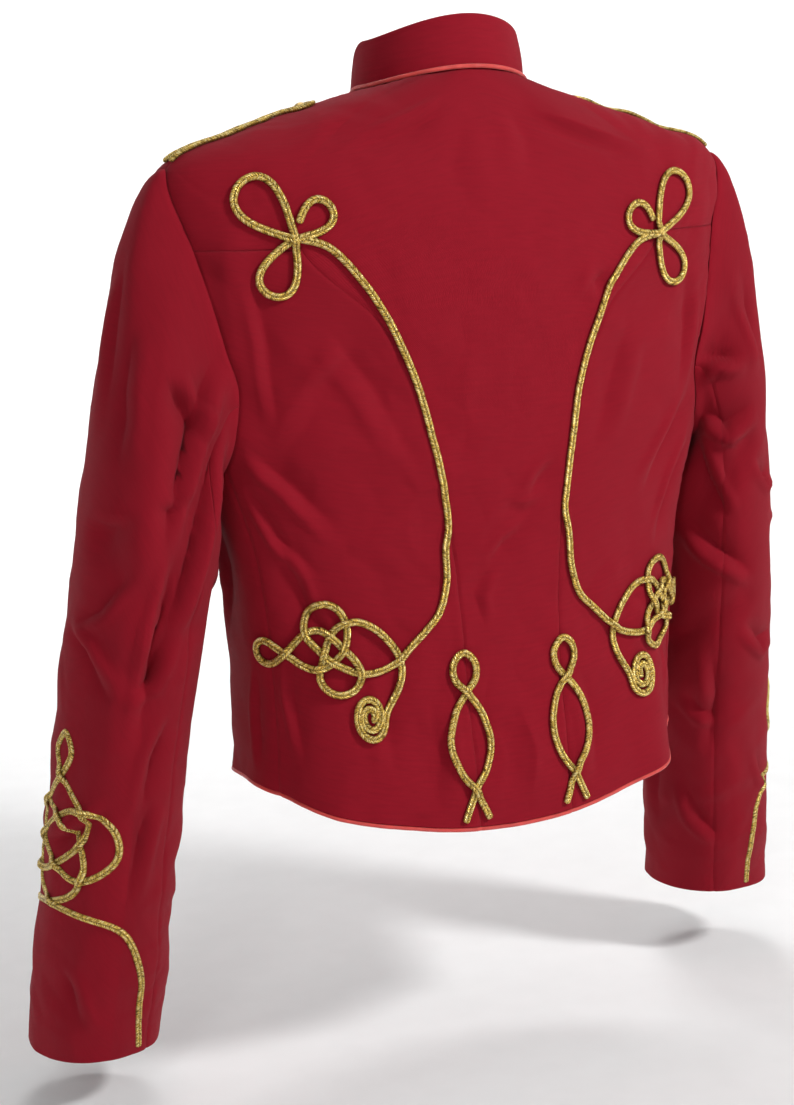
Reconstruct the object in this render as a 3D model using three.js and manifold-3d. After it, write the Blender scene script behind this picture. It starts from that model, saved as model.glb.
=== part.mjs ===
// A hussar jacket in the hollow form that it has when worn: short body, stand collar, two-piece
// sleeves, coral piping and gold cord work. Millimetres, +Z up, front towards -Y and the wearer's
// left towards +X. The origin is the middle of the neck opening, level with the nape seam's sides.
import * as THREE from "three";
import Module from "manifold-3d";
import { mergeVertices } from "three/addons/utils/BufferGeometryUtils.js";

const wasm = await Module();
wasm.setup();

// ---------------------------------------------------------------- driving sizes
const CLOTH = 2;               // lined cotton drill, one wall
const COLLAR_CLOTH = 2.6;      // collar with its stiffening
const SEAM_GAP = 0.3;
const ARMHOLE_GAP = 0.35;
const LAID_ON = 0.75;          // clearance under cord and buttons
const CORD_WIDTH = 5.2;
const CORD_HEIGHT = 3.4;
const CORD_STEP = 2;           // spacing of the samples along a cord
const CORD_TOLERANCE = 0.55;   // a sample nearer than this to its chord is left out
const SLIVER = 0.02;           // detail finer than this is merged where cords are joined
const CORD_RUN = 18;           // length of one swept run of a cord
const CROSSING_LIFT = 2.8;     // rise of the strand that crosses over
const CROSSING_REACH = 9;
const PIPING_RADIUS = 1.5;
const COLLAR_HEIGHT = { back: 36, side: 32, front: 30 };
const COLLAR_LEAN = 4;
const COLLAR_END = 15.65;      // lattice column where the collar stops short of the centre front
const STAND_WIDTH = 28;
const BUTTONS = { count: 7, radius: 7.5, height: 5.5, top: -100, bottom: -462 };
const SHOULDER_BUTTON = { radius: 6, height: 4.5, along: 113 };

// ---------------------------------------------------------------- body form
// A section each for hem, hip, low waist, waist, ribs, armpit, mid armhole, shoulder blade, yoke
// seam, shoulder end, two on the shoulder slope, and neck. `middle` sets the ring back, `square`
// is the exponent of its superellipse, and the seams' places are degrees round from centre back.
const SECTION_COLUMNS = ["halfWidth", "back", "front", "middle", "zBack", "zSide", "zFront",
  "square", "princess", "sideSeam"];
const SECTIONS = [
  [172, 98, 112, 2, -514, -476, -490, 2.30, 12.3, 69],
  [171, 90, 114, 5, -465, -446, -455, 2.30, 12.4, 69],
  [172, 79, 118, 9, -415, -408, -415, 2.30, 12.6, 68],
  [174, 72, 122, 13, -362, -362, -368, 2.30, 12.9, 68],
  [180, 69, 128, 16, -310, -316, -320, 2.25, 14.0, 69],
  [191, 69, 135, 18, -255, -270, -268, 2.20, 16.0, 72],
  [204, 67, 138, 20, -205, -218, -216, 2.15, 18.5, 78],
  [212, 63, 135, 23, -158, -165, -172, 2.10, 25.0, 84],
  [214, 60, 129, 25, -112, -108, -135, 2.10, 40.0, 88],
  [214, 55, 122, 27, -74, -56, -105, 2.10, 40.0, 90],
  [164, 52, 108, 22, -36, -34, -86, 2.10, 40.0, 90],
  [110, 52, 90, 14, -11, -18, -72, 2.10, 40.0, 90],
  [61, 54, 68, 7, 5, -5, -58, 2.05, 40.0, 90],
];
const YOKE = 8;
const SHOULDER = 9;
const NECK = SECTIONS.length - 1;
const BODY_ROWS = [0, 0.35, 0.7, 1, 1.5, 2, 2.5, 3, 3.5, 4, 4.5, 5, 5.5, 6, 6.5, 7, 7.5, 8, 8.5, 9,
  9.4, 10, 11, 12];
const PRINCESS_COLUMN = 3;
const SIDE_COLUMN = 8;
const FRONT_COLUMN = 16;

// The largest folds, each along a line from one place to another: degrees round and height at its
// two ends, its half width, and its depth at each end (a ridge is above 0, a trough below).
const FOLD_COLUMNS = ["fromAngle", "fromZ", "toAngle", "toZ", "width", "fromDepth", "toDepth"];
const BODY_FOLDS = [
  [-40, -330, -42, -520, 24, 0, 11],
  [-63, -330, -62, -520, 24, 0, -7],
  [44, -380, 46, -520, 26, 0, 5],
  [66, -380, 66, -500, 22, 0, -4],
  [57, -115, 60, -300, 15, 3.5, 0],
  [-58, -120, -62, -290, 15, 3, 0],
  [60, -200, 38, -330, 15, -3.5, 0],
  [-62, -205, -44, -320, 14, -3, 0],
  [140, -330, 148, -500, 24, 0, 5],
  [-138, -340, -146, -500, 22, 0, 4],
];
const BODY_ARC = 3;            // millimetres in a degree round the body, for the folds
const SLEEVE_ARC = 0.8;

// ---------------------------------------------------------------- armhole and sleeves
// The armhole is an oval on the side of the body, narrower above than below.
const ARMHOLE = { row: 7.05, halfRows: 1.95, halfAngle: 27, droop: 0.45 };
const SLEEVE_COLUMNS = 24;
const SLEEVE_SEAMS = { back: 8, front: 16 };     // columns of the two long seams
const CAP = { least: 16, most: 26, drop: 0.25, hang: 0.42 };
const CAP_ROWS = [0, 0.12, 0.27, 0.45, 0.65, 0.85];
const ARM_COLUMNS = ["z", "out", "back", "wide", "deep"];
const ARMS = {
  left: [
    [-300, 236, 12, 46, 53],
    [-350, 243.5, 3, 45, 52],
    [-400, 251, -6, 44, 51],
    [-450, 257.5, -15, 43.5, 51],
    [-500, 262, -24, 43.5, 51],
    [-550, 267, -33, 44, 51],
    [-600, 271.5, -42, 45, 51],
    [-635, 275, -49, 45, 50],
    [-663, 277.5, -54.5, 44, 49],
  ],
  right: [
    [-300, 224, 10, 38.5, 50],
    [-350, 228, 2, 39.5, 51],
    [-400, 232, -6, 41.5, 51],
    [-450, 236, -16, 43, 51],
    [-500, 240.5, -26, 45, 51],
    [-550, 245, -35, 45, 51],
    [-600, 251.5, -45, 45.5, 51],
    [-628, 255, -51, 45, 50],
    [-646, 257, -54, 45, 50],
  ],
};
const ARM_SQUARE = 2.1;
const SLEEVE_FOLDS = {
  left: [
    [63, -120, 63, -430, 10, 2.5, 2],
    [15, -215, 80, -205, 13, -3, -4],
    [30, -292, 75, -340, 12, -4, -3],
    [110, -235, 85, -330, 12, -5, -3],
    [120, -355, 60, -385, 12, -4, -2],
  ],
  right: [
    [70, -170, 150, -195, 13, -5, -5],
    [75, -205, 140, -222, 12, 4, 3],
    [95, -270, 150, -330, 12, -4, -4],
    [100, -390, 150, -420, 12, -3, -4],
    [30, -240, 65, -300, 13, -3, -2],
  ],
};

// ---------------------------------------------------------------- cord work
// Routes lie on the cloth. The first number is the distance round from the centre back, or from a
// sleeve's outer line, and the second is the height, above the cuff edge on a sleeve.
const TREFOIL = {
  left: { across: 145, height: -103, turn: 0 },
  right: { across: 137, height: -112, turn: 8 },
};
const TREFOIL_MEAN = { across: 141, height: -114 };
const PETALS = [
  { heading: -64, length: 40, width: 24 },
  { heading: 48, length: 49, width: 29 },
  { heading: 139, length: 32, width: 20 },
];
// The share in the last column moves a point with its trefoil.
const CURVE = [
  [49, -318, 0], [46, -300, 0], [48, -284, 0], [54, -250, 0.2], [62, -214, 0.4],
  [81, -168, 0.6], [97, -143, 0.8], [120, -119, 0.9],
];
const HIP_KNOT = [
  [50, -342], [56, -360], [66, -371], [79, -383], [88, -391], [99, -396], [113, -397], [131, -388],
  [141, -379], [148, -370], [150, -360], [145, -350], [136, -347], [127, -351], [122, -360],
  [121, -370], [125, -381], [134, -390], [144, -392], [153, -389], [164, -381], [173, -375],
  [180, -372], [186, -377], [184, -385], [176, -389], [167, -384], [159, -376], [151, -368],
  [142, -365], [134, -368], [125, -378], [117, -387], [113, -397], [117, -407], [126, -411],
  [135, -408], [141, -399], [139, -389], [136, -378], [131, -367], [123, -361], [113, -361],
  [103, -366], [94, -375], [87, -386], [85, -397], [88, -409],
];
const COIL = { across: 109, height: -427, wide: 13.5, tall: 20, turns: 2.3, last: 0.16, steps: 12 };
const EIGHT_CENTRE = 40;
const EIGHT_HALF = [
  [-10, -508], [-5, -497], [0, -486], [9, -474], [14.5, -460], [15, -448], [9.5, -431], [0, -418],
  [-7.5, -409], [-8.5, -399], [-4, -392],
];
const EIGHT_TOP = -390;
const CUFF_HALF = [
  [78, 3], [77, 25], [75, 50], [60, 80], [25, 93], [0, 98], [-22, 109], [-27, 128], [-18, 147],
  [0, 161], [22, 168], [45, 156], [50, 133], [25, 117], [0, 126], [-24, 147], [-25, 161],
  [-10, 180], [0, 191], [9, 208],
];
const CUFF_TOP = 221;
const CUFF_SET = {             // degrees that the knot is turned to the back, and its rise
  left: { turn: 15, rise: 19 },
  right: { turn: -9, rise: 9 },
};
const SHOULDER_STRANDS = 3.3;  // half the spacing of the doubled cord
const SHOULDER_LOOP = 9.2;     // radius of its loop round the button
const SHOULDER_START = 5;

// ---------------------------------------------------------------- materials
const fabric = (color) => new THREE.MeshStandardMaterial({ color, roughness: 0.85, metalness: 0 });
const RED_DRILL = fabric("#9c0f26");
const CORAL_PIPING = new THREE.MeshStandardMaterial({ color: "#e0463f", roughness: 0.5 });
const GOLD_CORD = new THREE.MeshStandardMaterial({ color: "#c9962b", roughness: 0.38, metalness: 0.9 });
const GILT = new THREE.MeshStandardMaterial({ color: "#cfa143", roughness: 0.3, metalness: 1 });

// ---------------------------------------------------------------- small helpers
const radians = THREE.MathUtils.degToRad;
const clamp = THREE.MathUtils.clamp;
const named = (columns, rows) => rows.map((row) => Object.fromEntries(columns.map((c, k) => [c, row[k]])));
const vec = (x, y, z) => new THREE.Vector3(x, y, z);
const SIDES = { left: 1, right: -1 };

// Catmull-Rom through one column of a table, at a row that may lie between two.
function between(table, column, at) {
  const last = table.length - 1;
  const k = Math.min(Math.floor(clamp(at, 0, last)), last - 1);
  const t = clamp(at, 0, last) - k;
  const b = table[k][column];
  const c = table[k + 1][column];
  const a = k > 0 ? table[k - 1][column] : 2 * b - c;
  const d = k + 2 <= last ? table[k + 2][column] : 2 * c - b;
  return 0.5 * (2 * b + (c - a) * t + (2 * a - 5 * b + 4 * c - d) * t * t + (3 * b - 3 * c + d - a) * t ** 3);
}

// The point of a unit superellipse at an angle from its second axis.
function superellipse(angle, square) {
  const s = Math.sin(radians(angle));
  const c = Math.cos(radians(angle));
  const size = (Math.abs(s) ** square + Math.abs(c) ** square) ** (1 / square);
  return [s / size, c / size];
}

function foldHeight(folds, arc, angle, z) {
  let height = 0;
  for (const fold of folds) {
    const runX = (fold.toAngle - fold.fromAngle) * arc;
    const runZ = fold.toZ - fold.fromZ;
    const x = (angle - fold.fromAngle) * arc;
    const along = clamp((x * runX + (z - fold.fromZ) * runZ) / (runX ** 2 + runZ ** 2), 0, 1);
    const away = Math.hypot(x - along * runX, z - fold.fromZ - along * runZ);
    const depth = fold.fromDepth + (fold.toDepth - fold.fromDepth) * along;
    height += depth * Math.exp(-((away / fold.width) ** 2));
  }
  return height;
}

// Outward unit normal of a surface, whose second step runs up the body or up the sleeve.
function normalOf(surface, angle, row) {
  const here = surface(angle, row);
  const round = surface(angle + 0.5, row).sub(here);
  const up = surface(angle, row + 0.01).sub(here);
  return up.cross(round).normalize();
}

// ---------------------------------------------------------------- body surface
const sections = named(SECTION_COLUMNS, SECTIONS);
const bodyFolds = named(FOLD_COLUMNS, BODY_FOLDS);

function plainBody(angle, row) {
  const at = (column) => between(sections, column, row);
  const [x, y] = superellipse(angle, at("square"));
  const rear = y >= 0;
  const zEnd = at(rear ? "zBack" : "zFront");
  const zSide = at("zSide");
  const level = Math.cos(radians(angle)) ** 2;
  return vec(x * at("halfWidth"), y * at(rear ? "back" : "front") + at("middle"), zSide + (zEnd - zSide) * level);
}

function bodySurface(angle, row) {
  const point = plainBody(angle, row);
  const [x, y] = superellipse(angle, 2);
  const height = foldHeight(bodyFolds, BODY_ARC, angle, point.z);
  return point.add(vec(x * height, y * height, 0));
}

// Lattice columns run from the centre back to the princess seam, the side seam and the front.
function columnAngle(column, row) {
  const princess = between(sections, "princess", row);
  const side = between(sections, "sideSeam", row);
  const c = Math.abs(column);
  let angle = side + ((180 - side) * (c - SIDE_COLUMN)) / (FRONT_COLUMN - SIDE_COLUMN);
  if (c <= SIDE_COLUMN) angle = princess + ((side - princess) * (c - PRINCESS_COLUMN)) / (SIDE_COLUMN - PRINCESS_COLUMN);
  if (c <= PRINCESS_COLUMN) angle = (princess * c) / PRINCESS_COLUMN;
  return Math.sign(column) * angle;
}

function angleColumn(angle, row) {
  const princess = between(sections, "princess", row);
  const side = between(sections, "sideSeam", row);
  const a = Math.abs(angle);
  let column = SIDE_COLUMN + ((FRONT_COLUMN - SIDE_COLUMN) * (a - side)) / (180 - side);
  if (a <= side) column = PRINCESS_COLUMN + ((SIDE_COLUMN - PRINCESS_COLUMN) * (a - princess)) / (side - princess);
  if (a <= princess) column = (PRINCESS_COLUMN * a) / princess;
  return Math.sign(angle) * column;
}

// ---------------------------------------------------------------- armhole and sleeve surface
const foldTables = Object.fromEntries(Object.entries(SLEEVE_FOLDS).map(([k, t]) => [k, named(FOLD_COLUMNS, t)]));
const armTables = Object.fromEntries(Object.entries(ARMS).map(([k, t]) => [k, named(ARM_COLUMNS, t)]));

// Round an armhole, with x as on the left side: 0 is its top, 90 its back edge.
function armhole(arm, turn) {
  const c = Math.cos(radians(turn));
  const s = Math.sin(radians(turn));
  const angle = 90 - ARMHOLE.halfAngle * s * (1 - ARMHOLE.droop * c);
  const side = SIDES[arm];
  return bodySurface(side * angle, ARMHOLE.row + ARMHOLE.halfRows * c).multiply(vec(side, 1, 1));
}

const armholeMiddle = armhole("left", 0).add(armhole("left", 180)).multiplyScalar(0.5);

// The tube below the cap, on the left side: 0 is its outer line, 90 its back.
function sleeveTube(table, turn, row) {
  const at = (column) => between(table, column, row);
  const [y, x] = superellipse(turn, ARM_SQUARE);
  return vec(at("out") + x * at("wide"), at("back") + y * at("deep"), at("z"));
}

// Sleeve rows 0 to 1 are the cap, from the armhole, and each whole row after it one of the table's.
function plainSleeve(arm, turn, row) {
  const table = armTables[arm];
  if (row >= 1) return sleeveTube(table, turn, row - 1);
  const start = armhole(arm, turn);
  const inwards = vec(0, armholeMiddle.y - start.y, armholeMiddle.z - start.z).normalize();
  start.addScaledVector(inwards, ARMHOLE_GAP);
  const end = sleeveTube(table, turn, 0);
  const upSleeve = sleeveTube(table, turn, 0).sub(sleeveTube(table, turn, 0.5)).normalize();
  const upper = 0.5 + 0.5 * Math.cos(radians(turn));
  const reach = CAP.least + (CAP.most - CAP.least) * upper;
  const first = start.clone().add(vec(reach, 0, -CAP.drop * reach * upper));
  const second = end.clone().addScaledVector(upSleeve, CAP.hang * start.distanceTo(end));
  const t = Math.max(row, 0);
  const u = 1 - t;
  return start.multiplyScalar(u ** 3).addScaledVector(first, 3 * u * u * t)
    .addScaledVector(second, 3 * u * t * t).addScaledVector(end, t ** 3);
}

function sleeveSurface(arm, turn, row) {
  const point = plainSleeve(arm, turn, row);
  const fade = clamp(row * 2, 0, 1);
  const height = fade * foldHeight(foldTables[arm], SLEEVE_ARC, turn, point.z);
  const [y, x] = superellipse(turn, 2);
  return point.add(vec(x * height, y * height, 0));
}

// ---------------------------------------------------------------- lattices and walls
// A lattice holds a surface's facets: outer points, and unit normals to thicken it inwards.
function makeLattice(firstColumn, lastColumn, rows, pointAt, normalAt) {
  const points = new Map();
  const key = (i, j) => `${i},${j}`;
  for (let i = firstColumn; i <= lastColumn; i += 1) {
    rows.forEach((row, j) => points.set(key(i, j), { point: pointAt(i, row), normal: normalAt(i, row) }));
  }
  const cap = (i) => clamp(i, firstColumn, lastColumn);
  const at = (i, j) => points.get(key(cap(i), clamp(j, 0, rows.length - 1)));
  return { firstColumn, lastColumn, rows, at };
}

// The point of the facets at a place between the lattice's lines, with its smoothed normal.
function onFacets(lattice, column, row) {
  const { rows } = lattice;
  let j = 0;
  while (j < rows.length - 2 && rows[j + 1] < row) j += 1;
  const v = clamp((row - rows[j]) / (rows[j + 1] - rows[j]), 0, 1);
  const i = clamp(Math.floor(column), lattice.firstColumn, lattice.lastColumn - 1);
  const u = clamp(column - i, 0, 1);
  const [a, b, c, d] = [lattice.at(i, j), lattice.at(i + 1, j), lattice.at(i + 1, j + 1), lattice.at(i, j + 1)];
  const blend = (get) => {
    const far = v > u ? d : b;
    const near = Math.min(u, v);
    const mixed = get(a).clone().multiplyScalar(1 - Math.max(u, v));
    return mixed.addScaledVector(get(c), near).addScaledVector(get(far), Math.max(u, v) - near);
  };
  return { point: blend((p) => p.point), normal: blend((p) => p.normal).normalize() };
}

// A closed wall over the lattice's cells that `covers` picks. Its edges stand half a seam gap back.
function wallMesh(lattice, covers, thickness = CLOTH) {
  const positions = [];
  const indices = [];
  const slots = new Map();
  const trimmed = (i, j, depth) => {
    const [sw, se, nw, ne] = [covers(i - 1, j - 1), covers(i, j - 1), covers(i - 1, j), covers(i, j)];
    const round = Math.sign((ne - nw) + (se - sw));
    const up = Math.sign((ne - se) + (nw - sw));
    const { point, normal } = lattice.at(i, j);
    const result = point.clone().addScaledVector(normal, -depth);
    const alongRow = lattice.at(i + 1, j).point.clone().sub(lattice.at(i - 1, j).point).normalize();
    const alongColumn = lattice.at(i, j + 1).point.clone().sub(lattice.at(i, j - 1).point).normalize();
    result.addScaledVector(alongRow, (round * SEAM_GAP) / 2);
    return result.addScaledVector(alongColumn, (up * SEAM_GAP) / 2);
  };
  const slot = (i, j, layer) => {
    const key = `${i},${j},${layer}`;
    if (!slots.has(key)) {
      slots.set(key, positions.length / 3);
      positions.push(...trimmed(i, j, layer * thickness).toArray());
    }
    return slots.get(key);
  };
  const quad = (a, b, c, d) => indices.push(a, b, c, a, c, d);
  for (let j = 0; j < lattice.rows.length - 1; j += 1) {
    for (let i = lattice.firstColumn; i < lattice.lastColumn; i += 1) {
      if (!covers(i, j)) continue;
      const corners = [[i, j], [i + 1, j], [i + 1, j + 1], [i, j + 1]];
      const outer = corners.map(([x, y]) => slot(x, y, 0));
      const inner = corners.map(([x, y]) => slot(x, y, 1));
      quad(...outer);
      quad(inner[0], inner[3], inner[2], inner[1]);
      const beside = [covers(i, j - 1), covers(i + 1, j), covers(i, j + 1), covers(i - 1, j)];
      beside.forEach((covered, k) => {
        const m = (k + 1) % 4;
        if (covered) return;
        // Walls on both sides of a seam fold their edge faces along the same diagonal.
        if (k < 2) quad(outer[k], inner[k], inner[m], outer[m]);
        else quad(outer[m], outer[k], inner[k], inner[m]);
      });
    }
  }
  return { positions, indices };
}

// Signed volume decides whether a mesh has to be turned inside out.
function facingOut({ positions, indices }) {
  const p = (k) => vec(...positions.slice(3 * k, 3 * k + 3));
  let volume = 0;
  for (let k = 0; k < indices.length; k += 3) {
    volume += p(indices[k]).dot(p(indices[k + 1]).cross(p(indices[k + 2])));
  }
  if (volume > 0) return { positions, indices };
  return { positions, indices: indices.slice().reverse() };
}

function solidOf(mesh) {
  const { positions, indices } = facingOut(mesh);
  const parts = { numProp: 3, vertProperties: Float32Array.from(positions), triVerts: Uint32Array.from(indices) };
  return new wasm.Manifold(new wasm.Mesh(parts));
}

function solidOfGeometry(geometry) {
  geometry.deleteAttribute("normal");
  geometry.deleteAttribute("uv");
  const merged = mergeVertices(geometry);
  return solidOf({ positions: [...merged.attributes.position.array], indices: [...merged.index.array] });
}

function geometryOf({ positions, indices }) {
  const geometry = new THREE.BufferGeometry();
  geometry.setAttribute("position", new THREE.Float32BufferAttribute(positions, 3));
  geometry.setIndex([...indices]);
  geometry.computeVertexNormals();
  return geometry;
}

function geometryOfSolid(solid) {
  const mesh = solid.getMesh();
  return geometryOf({ positions: [...mesh.vertProperties], indices: [...mesh.triVerts] });
}

const jacket = new THREE.Group();

function addPiece(name, geometry, material) {
  const mesh = new THREE.Mesh(geometry, material);
  mesh.name = name;
  jacket.add(mesh);
  return mesh;
}

// ---------------------------------------------------------------- body panels
const bodyLattice = makeLattice(-FRONT_COLUMN, FRONT_COLUMN, BODY_ROWS,
  (i, row) => bodySurface(columnAngle(i, row), row),
  (i, row) => normalOf(bodySurface, columnAngle(i, row), Math.min(row, NECK - 0.01)));

const YOKE_ROW = BODY_ROWS.indexOf(YOKE);
const inBody = (i, j) => i >= -FRONT_COLUMN && i < FRONT_COLUMN && j >= 0 && j < BODY_ROWS.length - 1;
const within = (low, high) => (i) => i >= low && i < high;

// A prism through the side of the body, with the armhole's outline.
function armholeCutter(arm) {
  const outline = new THREE.Shape();
  for (let k = 0; k < SLEEVE_COLUMNS; k += 1) {
    const { y, z } = armhole(arm, (360 * k) / SLEEVE_COLUMNS);
    if (k === 0) outline.moveTo(y, z);
    else outline.lineTo(y, z);
  }
  const depth = 220;
  const prism = new THREE.ExtrudeGeometry(outline, { depth, bevelEnabled: false });
  const axes = new THREE.Matrix4().makeBasis(vec(0, 1, 0), vec(0, 0, 1), vec(1, 0, 0));
  prism.applyMatrix4(axes.setPosition(SIDES[arm] > 0 ? 110 : -110 - depth, 0, 0));
  return solidOfGeometry(prism);
}

const armholeCutters = { left: armholeCutter("left"), right: armholeCutter("right") };

function bodyPanel(name, covers) {
  const wall = solidOf(wallMesh(bodyLattice, (i, j) => inBody(i, j) && covers(i, j)));
  const cut = wall.subtract(armholeCutters.left).subtract(armholeCutters.right);
  addPiece(name, geometryOfSolid(cut), RED_DRILL);
}

function makeBody() {
  const middle = within(-PRINCESS_COLUMN, PRINCESS_COLUMN);
  const wings = within(-SIDE_COLUMN, SIDE_COLUMN);
  bodyPanel("back_centre", (i, j) => middle(i) || (j >= YOKE_ROW && wings(i)));
  bodyPanel("side_back_left", (i, j) => within(PRINCESS_COLUMN, SIDE_COLUMN)(i) && j < YOKE_ROW);
  bodyPanel("side_back_right", (i, j) => within(-SIDE_COLUMN, -PRINCESS_COLUMN)(i) && j < YOKE_ROW);
  bodyPanel("front_left", within(SIDE_COLUMN, FRONT_COLUMN));
  bodyPanel("front_right", within(-FRONT_COLUMN, -SIDE_COLUMN));
}

// ---------------------------------------------------------------- sleeves
function sleeveLattice(arm) {
  const side = SIDES[arm];
  const rows = [...CAP_ROWS, ...ARMS[arm].map((_, k) => k + 1)];
  const mirror = (point) => point.multiply(vec(side, 1, 1));
  const surface = (turn, row) => sleeveSurface(arm, turn, row);
  const turnOf = (i) => (360 * i) / SLEEVE_COLUMNS;
  const last = rows[rows.length - 1];
  return makeLattice(0, SLEEVE_COLUMNS, rows,
    (i, row) => mirror(surface(turnOf(i), row)),
    (i, row) => mirror(normalOf(surface, turnOf(i), Math.min(row, last - 0.01))));
}

const sleeveLattices = { left: sleeveLattice("left"), right: sleeveLattice("right") };

// The under sleeve lies between the seams; the upper sleeve is the rest, laid out past column 24.
function makeSleeve(arm) {
  const lattice = sleeveLattices[arm];
  const { back, front } = SLEEVE_SEAMS;
  const inRows = (j) => j >= 0 && j < lattice.rows.length - 1;
  const unrolled = {
    ...lattice,
    firstColumn: back,
    lastColumn: back + SLEEVE_COLUMNS,
    at: (i, j) => lattice.at(((i % SLEEVE_COLUMNS) + SLEEVE_COLUMNS) % SLEEVE_COLUMNS, j),
  };
  const under = wallMesh(unrolled, (i, j) => inRows(j) && within(back, front)(i));
  const upper = wallMesh(unrolled, (i, j) => inRows(j) && within(front, back + SLEEVE_COLUMNS)(i));
  addPiece(`sleeve_under_${arm}`, geometryOf(facingOut(under)), RED_DRILL);
  addPiece(`sleeve_upper_${arm}`, geometryOf(facingOut(upper)), RED_DRILL);
}

// ---------------------------------------------------------------- collar, piping and front stand
function levelAt(sizes, angle) {
  const c = Math.cos(radians(angle));
  return sizes.side + ((c >= 0 ? sizes.back : sizes.front) - sizes.side) * c * c;
}

function neckPlace(column) {
  const { point } = onFacets(bodyLattice, column, NECK);
  const angle = columnAngle(column, NECK);
  const [x, y] = superellipse(angle, 2);
  return { point, angle, outward: vec(x, y, 0) };
}

const endColumns = (end) => {
  const columns = [-end];
  for (let i = 1 - FRONT_COLUMN; i < FRONT_COLUMN; i += 1) columns.push(i);
  return [...columns, end];
};

function makeCollar() {
  const places = endColumns(COLLAR_END).map(neckPlace);
  const rises = [0, 0.55, 1];
  const pointAt = (k, rise) => {
    const { point, angle, outward } = places[k];
    const lean = -COLLAR_LEAN * rise * rise;
    return point.clone().addScaledVector(outward, lean).add(vec(0, 0, SEAM_GAP + 0.15 + rise * levelAt(COLLAR_HEIGHT, angle)));
  };
  const lattice = makeLattice(0, places.length - 1, rises, pointAt, (k) => places[k].outward);
  const covers = (k, j) => k >= 0 && k < places.length - 1 && j >= 0 && j < rises.length - 1;
  addPiece("collar", geometryOf(facingOut(wallMesh(lattice, covers, COLLAR_CLOTH))), RED_DRILL);
}

// A closed tube through places that each give a centre, a sideways and an upward direction.
function tubeMesh(places, section) {
  const positions = [];
  const indices = [];
  const count = section.length;
  for (const { centre, across, up } of places) {
    for (const [a, b] of section) {
      positions.push(...centre.clone().addScaledVector(across, a).addScaledVector(up, b).toArray());
    }
  }
  for (let k = 0; k < places.length - 1; k += 1) {
    for (let m = 0; m < count; m += 1) {
      const n = (m + 1) % count;
      const [a, b] = [k * count + m, k * count + n];
      indices.push(a, b, b + count, a, b + count, a + count);
    }
  }
  const end = (places.length - 1) * count;
  for (let m = 1; m < count - 1; m += 1) indices.push(0, m + 1, m, end, end + m, end + m + 1);
  return { positions, indices };
}

const roundSection = (radius, sides) => Array.from({ length: sides }, (_, k) => {
  const angle = (2 * Math.PI * k) / sides;
  return [radius * Math.cos(angle), radius * Math.sin(angle)];
});

function makePiping() {
  const section = roundSection(PIPING_RADIUS, 6);
  const off = PIPING_RADIUS + 0.35;
  const collarPlaces = endColumns(COLLAR_END).map((column) => {
    const { point, outward } = neckPlace(column);
    const centre = point.clone().addScaledVector(outward, off).add(vec(0, 0, off));
    return { centre, across: outward, up: vec(0, 0, 1) };
  });
  addPiece("collar_piping", geometryOf(facingOut(tubeMesh(collarPlaces, section))), CORAL_PIPING);
  const hemPlaces = endColumns(FRONT_COLUMN - 0.1).map((column) => {
    const { point, normal } = onFacets(bodyLattice, column, 0);
    const centre = point.clone().addScaledVector(normal, -CLOTH / 2).add(vec(0, 0, -off));
    const across = vec(normal.x, normal.y, 0).normalize();
    return { centre, across, up: vec(0, 0, 1) };
  });
  addPiece("hem_piping", geometryOf(facingOut(tubeMesh(hemPlaces, section))), CORAL_PIPING);
}

// The front edge that laps over the other one and carries the buttons.
const STAND_TOP = 11.5;

function standPlace(offset, row) {
  const centre = onFacets(bodyLattice, FRONT_COLUMN, row).point;
  const beside = onFacets(bodyLattice, FRONT_COLUMN - 1, row).point;
  const column = FRONT_COLUMN - Math.abs(offset) / centre.distanceTo(beside);
  return onFacets(bodyLattice, offset < 0 ? -column : column, row);
}

function makeFrontStand() {
  const rows = [0.03, ...BODY_ROWS.slice(1, -1), STAND_TOP];
  const offsets = [STAND_WIDTH / 2, 0, -STAND_WIDTH / 2];
  const lift = CLOTH + SEAM_GAP;
  const pointAt = (k, row) => {
    const { point, normal } = standPlace(offsets[k], row);
    return point.clone().addScaledVector(normal, lift);
  };
  const normalAt = (k, row) => standPlace(offsets[k], row).normal;
  const lattice = makeLattice(0, 2, rows, pointAt, normalAt);
  const covers = (k, j) => k >= 0 && k < 2 && j >= 0 && j < rows.length - 1;
  addPiece("front_stand", geometryOf(facingOut(wallMesh(lattice, covers, CLOTH))), RED_DRILL);
}

// ---------------------------------------------------------------- buttons
function domeButton(radius, height) {
  const profile = [[0, 0], [0.85, 0], [1, 0.25], [0.75, 0.72], [0, 1]]
    .map(([r, h]) => new THREE.Vector2(r * radius, h * height));
  return new THREE.LatheGeometry(profile, 10);
}

function addButton(name, size, place, lift) {
  const button = addPiece(name, domeButton(size.radius, size.height), GILT);
  button.position.copy(place.point.clone().addScaledVector(place.normal, lift));
  button.quaternion.setFromUnitVectors(vec(0, 1, 0), place.normal);
}

function rowAtHeight(angle, z) {
  let [low, high] = [0, NECK];
  for (let k = 0; k < 30; k += 1) {
    const row = (low + high) / 2;
    if (plainBody(angle, row).z < z) low = row;
    else high = row;
  }
  return low;
}

function makeFrontButtons() {
  for (let k = 0; k < BUTTONS.count; k += 1) {
    const z = BUTTONS.top + ((BUTTONS.bottom - BUTTONS.top) * k) / (BUTTONS.count - 1);
    const place = onFacets(bodyLattice, FRONT_COLUMN, rowAtHeight(180, z));
    place.normal.setX(0).normalize();
    addButton(`front_button_${k + 1}`, BUTTONS, place, CLOTH + SEAM_GAP + LAID_ON);
  }
}

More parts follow.
